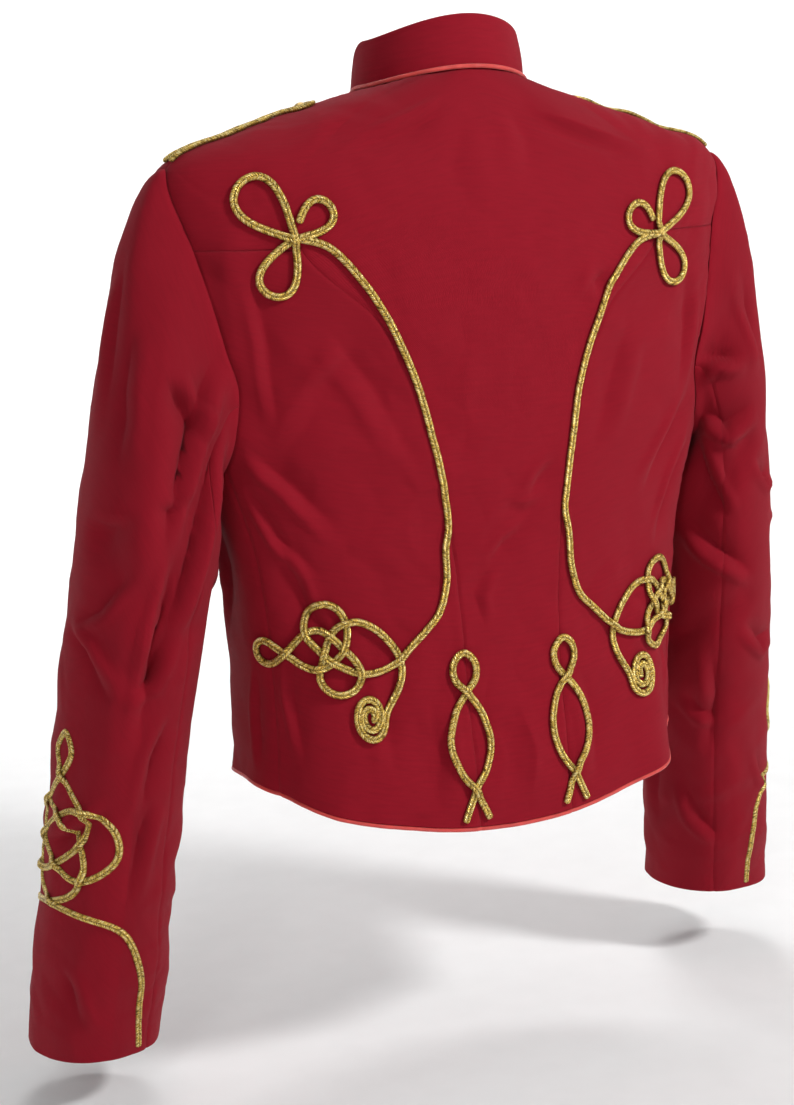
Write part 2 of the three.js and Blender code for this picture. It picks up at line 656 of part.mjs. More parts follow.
// ---------------------------------------------------------------- places for cord on the cloth
// The angle at which a horizontal ring has run the given distance from its start.
function angleAtArc(ring, distance, limit) {
  const step = Math.sign(distance) || 1;
  let [angle, run, here] = [0, 0, ring(0)];
  while (Math.abs(angle) < limit) {
    const next = ring(angle + step);
    const length = Math.hypot(next.x - here.x, next.y - here.y);
    if (run + length >= Math.abs(distance)) return angle + (step * (Math.abs(distance) - run)) / length;
    [angle, run, here] = [angle + step, run + length, next];
  }
  return angle;
}

function onBody(across, height) {
  let row = 4;
  let angle = 0;
  for (let k = 0; k < 5; k += 1) {
    angle = angleAtArc((a) => plainBody(a, row), across, 170);
    row = rowAtHeight(angle, height);
  }
  return onFacets(bodyLattice, angleColumn(angle, row), row);
}

function onSleeve(arm) {
  const table = armTables[arm];
  const lattice = sleeveLattices[arm];
  const cuff = table[table.length - 1].z;
  const { turn: set, rise } = CUFF_SET[arm];
  return (across, above) => {
    const up = above + rise * clamp(above / 90, 0, 1);
    let k = 0;
    while (k < table.length - 2 && table[k + 1].z > cuff + up) k += 1;
    const row = k + (table[k].z - cuff - up) / (table[k].z - table[k + 1].z);
    const turn = angleAtArc((a) => sleeveTube(table, a, row), across, 175) + set;
    const column = (((turn * SLEEVE_COLUMNS) / 360) + SLEEVE_COLUMNS) % SLEEVE_COLUMNS;
    return onFacets(lattice, column, row + 1);
  };
}

// Along the shoulder ridge: the distance to its back side, and from the shoulder end to the neck.
function onShoulder(side) {
  const ridge = (row) => plainBody(90, row);
  return (offset, along) => {
    let [row, run] = [SHOULDER, 0];
    while (run < along && row < NECK) {
      run += ridge(row).distanceTo(ridge(row + 0.01));
      row += 0.01;
    }
    const degree = plainBody(90, row).distanceTo(plainBody(89, row));
    return onFacets(bodyLattice, side * angleColumn(90 - offset / degree, row), row);
  };
}

// ---------------------------------------------------------------- cord solids
const smoothRoute = (points) => {
  const curve = new THREE.CatmullRomCurve3(points.map(([a, b]) => vec(a, b, 0)), false, "centripetal");
  curve.arcLengthDivisions = 1200;
  return curve.getSpacedPoints(Math.round(curve.getLength() / CORD_STEP));
};

// Where two stretches of the route cross, as the two places on it.
function crossingsOf(route) {
  const found = [];
  const side = (a, b, c) => (b.x - a.x) * (c.y - a.y) - (b.y - a.y) * (c.x - a.x);
  for (let k = 0; k < route.length - 1; k += 1) {
    for (let m = k + 4; m < route.length - 1; m += 1) {
      const [a, b, c, d] = [route[k], route[k + 1], route[m], route[m + 1]];
      if (side(a, b, c) * side(a, b, d) < 0 && side(c, d, a) * side(c, d, b) < 0) found.push([k + 0.5, m + 0.5]);
    }
  }
  return found;
}

// Going along the cord, it passes over and under itself in turn.
function cordLifts(route) {
  const visits = crossingsOf(route).flatMap((pair, id) => pair.map((at) => ({ at, id }))).sort((p, q) => p.at - q.at);
  const firstIsOver = new Map();
  let over = false;
  const peaks = [];
  for (const { at, id } of visits) {
    const isOver = firstIsOver.has(id) ? !firstIsOver.get(id) : !over;
    if (!firstIsOver.has(id)) firstIsOver.set(id, isOver);
    over = isOver;
    if (isOver) peaks.push(at);
  }
  return route.map((_, k) => {
    const near = peaks.map((at) => Math.abs(at - k) * CORD_STEP).filter((away) => away < CROSSING_REACH);
    const rises = near.map((away) => CROSSING_LIFT * Math.cos((Math.PI * away) / CROSSING_REACH / 2) ** 2);
    return Math.max(0, ...rises);
  });
}

// Indices of the samples that a polyline needs to keep to its tolerance.
function keptSamples(points, first, last) {
  const chord = new THREE.Line3(points[first], points[last]);
  const nearest = vec(0, 0, 0);
  let [worst, at] = [CORD_TOLERANCE, -1];
  for (let k = first + 1; k < last; k += 1) {
    const away = chord.closestPointToPoint(points[k], true, nearest).distanceTo(points[k]);
    if (away > worst) [worst, at] = [away, k];
  }
  if (at < 0) return [first, last];
  return [...keptSamples(points, first, at), ...keptSamples(points, at, last).slice(1)];
}

const CORD_SECTION = [[-0.5, 0], [0.5, 0], [0.3, 1], [-0.3, 1]]
  .map(([a, b]) => [a * CORD_WIDTH, b * CORD_HEIGHT]);

function cordSolid(points, placeAt) {
  const route = smoothRoute(points);
  const lifts = cordLifts(route);
  const places = route.map(({ x, y }, k) => {
    const { point, normal } = placeAt(x, y);
    return { centre: point.clone().addScaledVector(normal, LAID_ON + lifts[k]), up: normal };
  });
  places.forEach((place, k) => {
    const before = places[Math.max(k - 1, 0)].centre;
    const after = places[Math.min(k + 1, places.length - 1)].centre;
    place.across = after.clone().sub(before).cross(place.up).normalize();
  });
  const kept = keptSamples(places.map((p) => p.centre), 0, places.length - 1);
  const runs = [];
  let run = [kept[0]];
  for (const k of kept.slice(1)) {
    run.push(k);
    const far = (k - run[0]) * CORD_STEP >= CORD_RUN;
    if (far || k === kept[kept.length - 1]) {
      runs.push(solidOf(tubeMesh(run.map((m) => places[m]), CORD_SECTION)));
      run = [k];
    }
  }
  const bodies = wasm.Manifold.union(runs).simplify(SLIVER).decompose();
  return bodies.reduce((most, body) => (body.volume() > most.volume() ? body : most));
}

function addCord(name, points, placeAt) {
  addPiece(name, geometryOfSolid(cordSolid(points, placeAt)), GOLD_CORD);
}

// A petal leaves the middle on one side of its heading and comes back on the other.
function petal({ heading, length, width }, turn) {
  const [c, s] = [Math.cos(radians(heading + turn)), Math.sin(radians(heading + turn))];
  return [0.08, 0.16, 0.25, 0.34, 0.42, 0.5, 0.58, 0.66, 0.75, 0.84, 0.92].map((t) => {
    const along = length * Math.sin(Math.PI * t);
    const aside = (width / 2) * Math.sin(2 * Math.PI * t);
    return [along * c - aside * s, along * s + aside * c];
  });
}

function coilTurns({ across, height, wide, tall, turns, last, steps }) {
  const reachX = wide - CORD_WIDTH / 2;
  const reachY = tall - CORD_WIDTH / 2;
  return Array.from({ length: Math.round(turns * steps) + 1 }, (_, k) => {
    const share = k / (turns * steps);
    const size = 1 - (1 - last) * share;
    const angle = (2 * Math.PI * k) / steps;
    return [across - reachX * size * Math.cos(angle), height - reachY * size * Math.sin(angle)];
  });
}

// From the trefoil's middle through its petals, down the princess seam, round the hip, to the coil.
function scrollRoute(side) {
  const middle = TREFOIL[side];
  const set = ([a, b]) => [middle.across + a, middle.height + b];
  const flower = PETALS.flatMap((shape) => [[0, 0], ...petal(shape, middle.turn)]).map(set).reverse();
  const curve = CURVE.map(([a, b, share]) => [
    a + share * (middle.across - TREFOIL_MEAN.across),
    b + share * (middle.height - TREFOIL_MEAN.height),
  ]).reverse();
  return [...flower, set([0, 0]), ...curve, ...HIP_KNOT, ...coilTurns(COIL)];
}

function eightRoute() {
  const half = EIGHT_HALF.map(([a, b]) => [EIGHT_CENTRE + a, b]);
  const other = EIGHT_HALF.map(([a, b]) => [EIGHT_CENTRE - a, b]).reverse();
  return [...half, [EIGHT_CENTRE, EIGHT_TOP], ...other];
}

function cuffRoute() {
  return [...CUFF_HALF, [0, CUFF_TOP], ...CUFF_HALF.map(([a, b]) => [-a, b]).reverse()];
}

function shoulderRoute() {
  const { along } = SHOULDER_BUTTON;
  const loop = [-135, -90, -45, 0, 45, 90, 135].map((angle) => [
    SHOULDER_LOOP * Math.sin(radians(angle)),
    along + SHOULDER_LOOP * Math.cos(radians(angle)),
  ]);
  const strand = [SHOULDER_START, 35, 65, along - 18].map((run) => [SHOULDER_STRANDS, run]);
  return [...strand.map(([a, b]) => [-a, b]), ...loop, ...strand.reverse()];
}

function makeCords() {
  for (const [name, side] of Object.entries(SIDES)) {
    const body = (across, height) => onBody(side * across, height);
    const shoulder = onShoulder(side);
    addCord(`back_scroll_${name}`, scrollRoute(name), body);
    addCord(`back_eight_${name}`, eightRoute(), body);
    addCord(`cuff_knot_${name}`, cuffRoute(), onSleeve(name));
    addCord(`shoulder_cord_${name}`, shoulderRoute(), shoulder);
    addButton(`shoulder_button_${name}`, SHOULDER_BUTTON, shoulder(0, SHOULDER_BUTTON.along), LAID_ON);
  }
}

makeBody();
makeSleeve("left");
makeSleeve("right");
makeCollar();
makePiping();
makeFrontStand();
makeFrontButtons();
makeCords();

export default jacket;
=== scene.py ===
"""A hussar jacket in worn form: red drill panels, coral piping, gold cord and gilt buttons."""
import math

import bmesh
import bpy
import numpy as np
from mathutils import Matrix, Vector, kdtree, noise


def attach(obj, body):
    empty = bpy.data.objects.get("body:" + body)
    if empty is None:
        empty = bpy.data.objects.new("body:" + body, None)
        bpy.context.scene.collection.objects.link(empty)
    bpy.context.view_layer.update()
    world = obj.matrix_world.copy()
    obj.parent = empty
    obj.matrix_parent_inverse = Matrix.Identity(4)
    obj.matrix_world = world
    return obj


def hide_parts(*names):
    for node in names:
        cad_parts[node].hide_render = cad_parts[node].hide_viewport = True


bl_info = {
    "name": "Hussar Jacket",
    "version": (1, 0, 0),
    "blender": (4, 5, 0),
    "location": "View3D > Sidebar > Jacket",
    "description": "Builds a worn-form hussar jacket, piece by piece, with its studio",
    "category": "Object",
}

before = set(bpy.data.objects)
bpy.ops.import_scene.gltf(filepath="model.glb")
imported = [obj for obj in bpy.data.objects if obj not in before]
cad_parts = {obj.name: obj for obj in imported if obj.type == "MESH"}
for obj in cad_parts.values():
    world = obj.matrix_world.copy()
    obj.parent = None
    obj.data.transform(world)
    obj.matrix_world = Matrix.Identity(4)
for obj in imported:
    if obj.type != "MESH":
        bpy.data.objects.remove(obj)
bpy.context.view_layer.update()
MM = 0.001
SIDES = {"left": 1, "right": -1}

# ---------------------------------------------------------------- driving sizes, in millimetres
COLLAR_CLOTH = 2.6
SEAM_GAP = 0.3
ARMHOLE_GAP = 0.35
CROSSING_LIFT = 2.8
CROSSING_REACH = 9
PIPING_RADIUS = 1.5
PIPING_SIDES = 14
PIPING_UNEVEN = 0.035
COLLAR_HEIGHT = {"back": 36, "side": 32, "front": 30}
COLLAR_LEAN = 4
COLLAR_ROLL = 0.55             # how far its top and bottom edges round inwards
COLLAR_ROLL_WIDTH = 0.9
COLLAR_LIFT = 0.45
COLLAR_TUCK = {"start": -0.6, "slope": 40}      # below its seam it turns in under the neckline
COLLAR_END = 15.65             # column where the collar stops short of the centre front
STAND_WIDTH = 28
FRONT_COARSENESS = 1.8         # spacing of the fronts' mesh against that of the other cloth
STAND_ROWS = (0.03, 11.5)
FRONT_BUTTONS = {"count": 7, "radius": 7.5, "height": 5.5, "top": -100, "bottom": -462, "lift": 1.1}
SHOULDER_BUTTON = {"radius": 6, "height": 4.5, "along": 113, "lift": 0.9}

# Rings of the body from hem to neck: `middle` sets a ring back, `square` is the exponent of its
# superellipse, and the seams' places are degrees round from the centre back.
SECTION_COLUMNS = ("halfWidth", "back", "front", "middle", "zBack", "zSide", "zFront", "square",
                   "princess", "sideSeam")
SECTIONS = (
    (172, 98, 112, 2, -514, -476, -490, 2.30, 12.3, 69),
    (171, 90, 114, 5, -465, -446, -455, 2.30, 12.4, 69),
    (172, 79, 118, 9, -415, -408, -415, 2.30, 12.6, 68),
    (174, 72, 122, 13, -362, -362, -368, 2.30, 12.9, 68),
    (180, 69, 128, 16, -310, -316, -320, 2.25, 14.0, 69),
    (191, 69, 135, 18, -255, -270, -268, 2.20, 16.0, 72),
    (204, 67, 138, 20, -205, -218, -216, 2.15, 18.5, 78),
    (212, 63, 135, 23, -158, -165, -172, 2.10, 25.0, 84),
    (214, 60, 129, 25, -112, -108, -135, 2.10, 40.0, 88),
    (214, 55, 122, 27, -74, -56, -105, 2.10, 40.0, 90),
    (164, 52, 108, 22, -36, -34, -86, 2.10, 40.0, 90),
    (110, 52, 90, 14, -11, -18, -72, 2.10, 40.0, 90),
    (61, 54, 68, 7, 5, -5, -58, 2.05, 40.0, 90),
)
YOKE = 8
SHOULDER = 9
NECK = len(SECTIONS) - 1
PRINCESS_COLUMN = 3
SIDE_COLUMN = 8
FRONT_COLUMN = 16

# Large folds: degrees round and height at the two ends, half width, and depth at each end.
BODY_FOLDS = (
    (-40, -330, -42, -520, 24, 0, 11),
    (-63, -330, -62, -520, 24, 0, -7),
    (44, -380, 46, -520, 26, 0, 5),
    (66, -380, 66, -500, 22, 0, -4),
    (57, -115, 60, -300, 15, 3.5, 0),
    (-58, -120, -62, -290, 15, 3, 0),
    (60, -200, 38, -330, 15, -3.5, 0),
    (-62, -205, -44, -320, 14, -3, 0),
    (140, -330, 148, -500, 24, 0, 5),
    (-138, -340, -146, -500, 22, 0, 4),
)
BODY_ARC = 3                   # millimetres in a degree round the body, for folds and creases
SLEEVE_ARC = 0.8

# Creases: three places along each, then half width, depth (a ridge is above 0), and the height
# of the soft lip beside it as a share of its depth (its sign picks the side).
BODY_CREASES = (
    (52, -122, 50, -170, 51, -232, 6.0, -1.6, 0.5),
    (43, -212, 36, -196, 29, -176, 7.0, -1.8, -0.6),
    (36, -160, 27, -205, 20, -262, 9.0, -1.9, 0.5),
    (62, -238, 52, -262, 40, -300, 7.0, -2.2, 0.7),
    (66, -262, 58, -300, 46, -330, 6.0, -1.8, 0.6),
    (60, -290, 52, -350, 45, -372, 6.0, -1.4, -0.5),
    (-6, -306, 1, -318, 6, -332, 4.0, -1.2, 0.6),
    (-10, -292, -4, -297, 2, -290, 4.5, -1.1, 0.5),
    (-13, -262, -8, -276, -5, -290, 5.0, -1.3, 0.6),
    (4, -330, 9, -352, 7, -376, 4.5, -1.0, -0.5),
    (-24, -134, -22, -143, -24, -152, 6.0, -1.5, 0.5),
    (-50, -130, -52, -180, -50, -230, 7.0, -1.5, -0.5),
    (-58, -228, -48, -262, -38, -300, 7.0, -2.0, 0.6),
    (-64, -262, -54, -296, -46, -340, 6.5, -1.8, 0.6),
    (-30, -170, -26, -215, -22, -262, 9.0, -1.4, -0.5),
    (30, -396, 33, -430, 32, -474, 7.0, -1.3, 0.5),
    (22, -420, 21, -455, 23, -500, 8.0, -1.4, -0.5),
    (-18, -410, -21, -452, -20, -504, 8.0, -1.5, 0.5),
    (0, -430, -3, -465, -1, -508, 10.0, 1.6, 0.3),
    (58, -372, 60, -412, 57, -462, 7.0, -1.4, 0.5),
    (-54, -372, -55, -420, -53, -476, 8.0, -2.0, 0.5),
    (12, -24, 20, -34, 34, -52, 7.0, -1.4, 0.6),
    (-14, -22, -26, -36, -40, -50, 7.0, 1.8, 0.4),
    (-8, -20, -10, -44, -6, -80, 9.0, -0.9, 0.4),
    (6, -26, 8, -60, 4, -98, 10.0, -0.8, -0.4),
    (76, -392, 80, -430, 78, -470, 7.0, -1.4, 0.5),
    (94, -282, 98, -330, 104, -382, 8.0, -2.0, 0.6),
    (104, -262, 118, -296, 128, -322, 8.0, -2.2, 0.6),
    (120, -400, 124, -440, 121, -478, 8.0, -1.5, -0.5),
    (112, -190, 124, -214, 136, -232, 7.0, -1.6, 0.6),
    (152, -280, 156, -330, 153, -380, 8.0, -1.3, 0.5),
    (-78, -396, -81, -432, -79, -468, 7.0, -1.4, -0.5),
    (-95, -278, -99, -326, -106, -376, 8.0, -2.1, 0.6),
    (-105, -258, -116, -290, -130, -316, 8.0, -2.0, 0.6),
    (-122, -404, -118, -440, -123, -476, 8.0, -1.4, 0.5),
    (-114, -186, -126, -208, -139, -226, 7.0, -1.7, 0.6),
    (-150, -290, -155, -340, -152, -392, 8.0, -1.3, -0.5),
)
SLEEVE_CREASES = {
    "left": (
        (104, -148, 92, -232, 78, -300, 5.0, -2.8, 0.7),
        (92, -300, 84, -350, 80, -430, 5.0, -2.6, -0.6),
        (122, -222, 108, -292, 94, -372, 5.5, -2.4, 0.7),
        (104, -352, 84, -386, 62, -398, 5.0, -1.8, 0.6),
        (66, -186, 84, -206, 108, -236, 4.5, -1.9, 0.6),
        (6, -280, 32, -283, 60, -276, 5.0, -1.7, 0.6),
        (-4, -352, 24, -366, 58, -402, 5.0, -1.8, 0.7),
        (8, -350, 34, -338, 58, -310, 4.5, -1.4, -0.6),
        (66, -268, 84, -274, 102, -262, 4.0, -1.5, 0.6),
        (0, -506, 30, -494, 66, -474, 5.0, -1.9, 0.7),
        (34, -590, 44, -606, 62, -644, 5.0, -1.4, 0.5),
        (100, -470, 92, -500, 84, -548, 5.5, -1.6, 0.6),
        (108, -410, 96, -440, 88, -486, 5.0, -1.6, -0.6),
        (40, -150, 34, -196, 38, -250, 7.0, -1.4, 0.5),
        (12, -110, 8, -160, 14, -214, 8.0, -1.2, -0.5),
        (150, -250, 172, -282, 200, -296, 6.0, -2.2, 0.7),
        (146, -320, 176, -346, 208, -352, 6.0, -2.3, 0.7),
        (154, -396, 184, -410, 214, -400, 6.0, -2.0, 0.6),
        (176, -470, 182, -540, 178, -610, 7.0, -1.4, 0.5),
        (222, -300, 250, -330, 286, -338, 6.0, -1.8, 0.6),
        (226, -380, 256, -398, 292, -384, 6.0, -1.8, -0.6),
        (270, -180, 292, -214, 320, -226, 7.0, -1.7, 0.6),
        (300, -470, 318, -500, 340, -512, 6.0, -1.5, 0.6),
    ),
    "right": (
        (150, -222, 118, -204, 84, -206, 6.0, -3.0, 0.8),
        (148, -244, 116, -256, 78, -242, 6.0, -2.4, 0.7),
        (152, -262, 132, -300, 112, -330, 5.0, -1.7, -0.6),
        (156, -332, 128, -352, 84, -374, 6.0, -2.4, 0.7),
        (150, -470, 134, -486, 116, -492, 4.5, -1.5, 0.6),
        (152, -546, 134, -580, 112, -600, 5.0, -1.8, 0.6),
        (128, -430, 122, -470, 127, -530, 5.0, -1.4, 0.5),
        (84, -282, 62, -300, 36, -296, 5.0, -1.7, 0.6),
        (96, -412, 72, -430, 44, -424, 5.5, -1.8, 0.6),
        (74, -520, 60, -548, 40, -560, 5.0, -1.4, 0.5),
        (60, -140, 56, -180, 60, -226, 7.0, -1.5, 0.5),
        (176, -250, 190, -280, 212, -300, 6.0, -2.0, 0.7),
        (172, -336, 196, -352, 222, -344, 6.0, -2.2, 0.7),
        (170, -410, 192, -420, 220, -412, 6.0, -1.8, -0.6),
        (180, -480, 184, -540, 178, -600, 7.0, -1.4, 0.5),
        (228, -310, 258, -332, 290, -330, 6.0, -1.8, 0.6),
        (232, -392, 262, -404, 296, -392, 6.0, -1.7, 0.6),
        (276, -186, 298, -216, 324, -222, 7.0, -1.6, -0.6),
        (306, -480, 324, -500, 346, -514, 6.0, -1.5, 0.6),
        (8, -330, 30, -344, 54, -340, 6.0, -1.5, 0.5),
    ),
}

# A crease falls steeply on the side of its lip and rises gently on the other.
STEEP_SIDE = 0.75
GENTLE_SIDE = 1.9
CREASE_EDGE = 1.15             # exponent of its profile: 1 is a sharp fold, 2 a soft one
CREASE_FADE = 1.3              # exponent of how its depth fades towards both ends
CREASE_ENDS = (0.7, 0.3)       # width at its ends, and what its middle adds, as shares
# The lip's place, width and reach against the crease's half width, and its fade in millimetres.
LIP = {"offset": 1.5, "width": 0.9, "reach": 2, "fade": 4}
SLEEVE_CREASING = 1.35         # sleeves are creased this much deeper than the body

# The crumpled facets between the creases.
CRUMPLE_RIDGES = {"height": 3.0, "size": 40.0, "seed": 5.0}
CRUMPLE_TROUGHS = {"height": 4.2, "size": 64.0, "seed": 2.0}
CRUMPLE_PATCHES = {"size": 130, "seed": 4.0, "middle": 0.65, "swing": 0.9, "least": 0.15, "most": 1.2}
BODY_CRUMPLE = {"back": 0.65, "sides": 0.45, "by": 60}     # strength, what the sides add, degrees
SLEEVE_CRUMPLE = 0.85
CAP_EASE = 3                   # creases are full where a third of the cap is passed

SEAM_SPACING = 0.6
SEAM_ROLL = 0.8                # how far cloth turns in at a seam
SEAM_ROLL_WIDTH = 1.7
PUCKER = 0.225                 # how far cloth swells and sinks beside a seam
PUCKER_START = 1.6
PUCKER_REACH = 8.0

# About how long each stretch of cloth is, in millimetres, which sets how finely it is meshed.
STRETCH = {"back": 200, "wing": 130, "side_back": 160, "under_arm": 60, "chest": 260, "armhole": 190,
           "cap": 130, "sleeve": 385, "upper": 205, "under": 100, "collar": 370, "collar_rise": 34}
SEAM_STOPS = (0, 0.7, 1.5, 2.5, 3.9)      # where the mesh has points beside a seam

# ---------------------------------------------------------------- armholes and sleeves
ARMHOLE = {"row": 7.05, "halfRows": 1.95, "halfAngle": 27, "droop": 0.45}
ARMHOLE_FOOT = ARMHOLE["row"] - ARMHOLE["halfRows"]
WEDGE_TURN = 153.75            # where the side seam runs into the armhole
SLEEVE_SEAMS = (120, 240)      # back and front seam, in degrees round from the outer line
CAP = {"least": 16, "most": 26, "drop": 0.25, "hang": 0.42}
ARM_COLUMNS = ("z", "out", "back", "wide", "deep")
ARMS = {
    "left": (
        (-300, 236, 12, 46, 53),
        (-350, 243.5, 3, 45, 52),
        (-400, 251, -6, 44, 51),
        (-450, 257.5, -15, 43.5, 51),
        (-500, 262, -24, 43.5, 51),
        (-550, 267, -33, 44, 51),
        (-600, 271.5, -42, 45, 51),
        (-635, 275, -49, 45, 50),
        (-663, 277.5, -54.5, 44, 49),
    ),
    "right": (
        (-300, 224, 10, 38.5, 50),
        (-350, 228, 2, 39.5, 51),
        (-400, 232, -6, 41.5, 51),
        (-450, 236, -16, 43, 51),
        (-500, 240.5, -26, 45, 51),
        (-550, 245, -35, 45, 51),
        (-600, 251.5, -45, 45.5, 51),
        (-628, 255, -51, 45, 50),
        (-646, 257, -54, 45, 50),
    ),
}
ARM_SQUARE = 2.1
SLEEVE_FOLDS = {
    "left": (
        (63, -120, 63, -430, 10, 2.5, 2),
        (15, -215, 80, -205, 13, -3, -4),
        (30, -292, 75, -340, 12, -4, -3),
        (110, -235, 85, -330, 12, -5, -3),
        (120, -355, 60, -385, 12, -4, -2),
    ),
    "right": (
        (70, -170, 150, -195, 13, -5, -5),
        (75, -205, 140, -222, 12, 4, 3),
        (95, -270, 150, -330, 12, -4, -4),
        (100, -390, 150, -420, 12, -3, -4),
        (30, -240, 65, -300, 13, -3, -2),
    ),
}

# ---------------------------------------------------------------- cord routes
# Distance round from the centre back, or from a sleeve's outer line, and height (above the cuff
# edge on a sleeve).
TREFOIL = {"left": (145, -103, 0), "right": (137, -112, 8)}      # across, height, turn
TREFOIL_MEAN = (141, -114)
PETALS = ((-64, 40, 24), (48, 49, 29), (139, 32, 20))      # heading, length, width
PETAL_SHARES = (0.08, 0.16, 0.25, 0.34, 0.42, 0.5, 0.58, 0.66, 0.75, 0.84, 0.92)
# The share in the last column moves a point with its trefoil.
CURVE = ((49, -318, 0), (46, -300, 0), (48, -284, 0), (54, -250, 0.2), (62, -214, 0.4),
         (81, -168, 0.6), (97, -143, 0.8), (120, -119, 0.9))
HIP_KNOT = (
    (50, -342), (56, -360), (66, -371), (79, -383), (88, -391), (99, -396), (113, -397),
    (131, -388), (141, -379), (148, -370), (150, -360), (145, -350), (136, -347), (127, -351),
    (122, -360), (121, -370), (125, -381), (134, -390), (144, -392), (153, -389), (164, -381),
    (173, -375), (180, -372), (186, -377), (184, -385), (176, -389), (167, -384), (159, -376),
    (151, -368), (142, -365), (134, -368), (125, -378), (117, -387), (113, -397), (117, -407),
    (126, -411), (135, -408), (141, -399), (139, -389), (136, -378), (131, -367), (123, -361),
    (113, -361), (103, -366), (94, -375), (87, -386), (85, -397), (88, -409),
)
COIL = {"across": 109, "height": -427, "wide": 13.5, "tall": 20, "inset": 2.6, "turns": 2.3,
        "last": 0.16, "steps": 12}
EIGHT_CENTRE = 40
EIGHT_HALF = ((-10, -508), (-5, -497), (0, -486), (9, -474), (14.5, -460), (15, -448),
              (9.5, -431), (0, -418), (-7.5, -409), (-8.5, -399), (-4, -392))
EIGHT_TOP = -390
CUFF_HALF = ((78, 3), (77, 25), (75, 50), (60, 80), (25, 93), (0, 98), (-22, 109), (-27, 128),
             (-18, 147), (0, 161), (22, 168), (45, 156), (50, 133), (25, 117), (0, 126),
             (-24, 147), (-25, 161), (-10, 180), (0, 191), (9, 208))
CUFF_TOP = 221
CUFF_SET = {"left": (15, 19), "right": (-9, 9)}            # degrees turned back, and rise
CUFF_EASE = 90                 # height above the cuff edge at which all of that rise is reached
SHOULDER_STRANDS = 3.3
SHOULDER_LOOP = 9.2
SHOULDER_START = 5

CAD_CORD_STEP = 4.0            # spacing at which the CAD cords follow their routes
CROSSING_STEP = 2.0            # spacing at which a route is searched for crossings
CORD_CLEARANCE = 0.1
GROOVE_DEPTH = 0.42            # of the cord's half height, along the middle between its two ridges
UNEVEN = 0.035                 # how much a ridge swells and sinks, as a share of its size
STRAND_WAVE = 0.2              # makes one strand about 1.6 mm long beside the next
# Degrees round the cord's outline, closer together over the groove and on the crowns.
CORD_AROUND = (0, 16, 32, 46, 58, 68, 76, 83, 90, 97, 104, 112, 122, 134, 148, 164, 180, 200, 225,
               250, 270, 290, 315, 340, 360)


# ---------------------------------------------------------------- small helpers
def between(table, columns, name, at):
    """Catmull-Rom through one column of a table, at rows that may lie between two."""
    values = np.array([row[columns.index(name)] for row in table], float)
    last = len(values) - 1
    at = np.clip(at, 0, last)
    k = np.minimum(np.floor(at).astype(int), last - 1)
    t = at - k
    b, c = values[k], values[k + 1]
    a = np.where(k > 0, values[np.maximum(k - 1, 0)], 2 * b - c)
    d = np.where(k + 2 <= last, values[np.minimum(k + 2, last)], 2 * c - b)
    return 0.5 * (2 * b + (c - a) * t + (2 * a - 5 * b + 4 * c - d) * t**2
                  + (3 * b - 3 * c + d - a) * t**3)


def superellipse(angle, square):
    s, c = np.sin(np.radians(angle)), np.cos(np.radians(angle))
    size = (np.abs(s) ** square + np.abs(c) ** square) ** (1 / square)
    return s / size, c / size


def bell(distance, width):
    return np.exp(-((distance / width) ** 2))


def run_along(line):
    """How far each point of a line lies from its start, along the line."""
    return np.concatenate([[0], np.cumsum(np.linalg.norm(np.diff(line, axis=0), axis=1))])


def fold_height(folds, arc, angle, z):
    height = 0
    for from_angle, from_z, to_angle, to_z, width, from_depth, to_depth in folds:
        run_x, run_z = (to_angle - from_angle) * arc, to_z - from_z
        x = (angle - from_angle) * arc
        along = np.clip((x * run_x + (z - from_z) * run_z) / (run_x**2 + run_z**2), 0, 1)
        away = np.hypot(x - along * run_x, z - from_z - along * run_z)
        height = height + (from_depth + (to_depth - from_depth) * along) * bell(away, width)
    return height


def crease_height(creases, arc, angle, z, turns=False):
    """Creases along bent lines, whose depth fades at both ends, with a soft lip on one side."""
    height = np.zeros(np.shape(angle))
    for a1, z1, a2, z2, a3, z3, width, depth, lip in creases:
        x0 = angle - a2
        if turns:
            x0 = (x0 + 180) % 360 - 180
        x, y = x0 * arc, z - z2
        best = np.full(x.shape, 1e9)
        side, share = np.zeros(x.shape), np.zeros(x.shape)
        for ax, ay, sign in (((a1 - a2) * arc, z1 - z2, -1), ((a3 - a2) * arc, z3 - z2, 1)):
            length = math.hypot(ax, ay)
            along = np.clip((x * ax + y * ay) / length**2, 0, 1)
            dx, dy = x - along * ax, y - along * ay
            away = np.hypot(dx, dy)
            nearer = away < best
            best = np.where(nearer, away, best)
            side = np.where(nearer, sign * (ax * dy - ay * dx) / length, side)
            share = np.where(nearer, sign * along, share)
        fade = np.cos(share * math.pi / 2) ** CREASE_FADE
        reach = width * np.where(side * lip > 0, STEEP_SIDE, GENTLE_SIDE)
        reach = reach * (CREASE_ENDS[0] + CREASE_ENDS[1] * fade)
        trough = np.exp(-((best / reach) ** CREASE_EDGE))
        ridge = abs(lip) * bell(side - math.copysign(LIP["offset"] * width, lip), LIP["width"] * width)
        ridge = ridge * np.exp(-np.maximum(best - LIP["reach"] * width, 0) / LIP["fade"])
        height += depth * fade * (trough - ridge)
    return height


def unit(v):
    return v / np.maximum(np.linalg.norm(v, axis=-1, keepdims=True), 1e-9)


def soft_noise(points, size, seed):
    """Smooth unevenness from -1 to 1 at each point, over patches of about the given size."""
    flat = points.reshape(-1, 3) / size + seed
    values = np.array([noise.noise(Vector(p)) for p in flat])
    return values.reshape(points.shape[:-1])


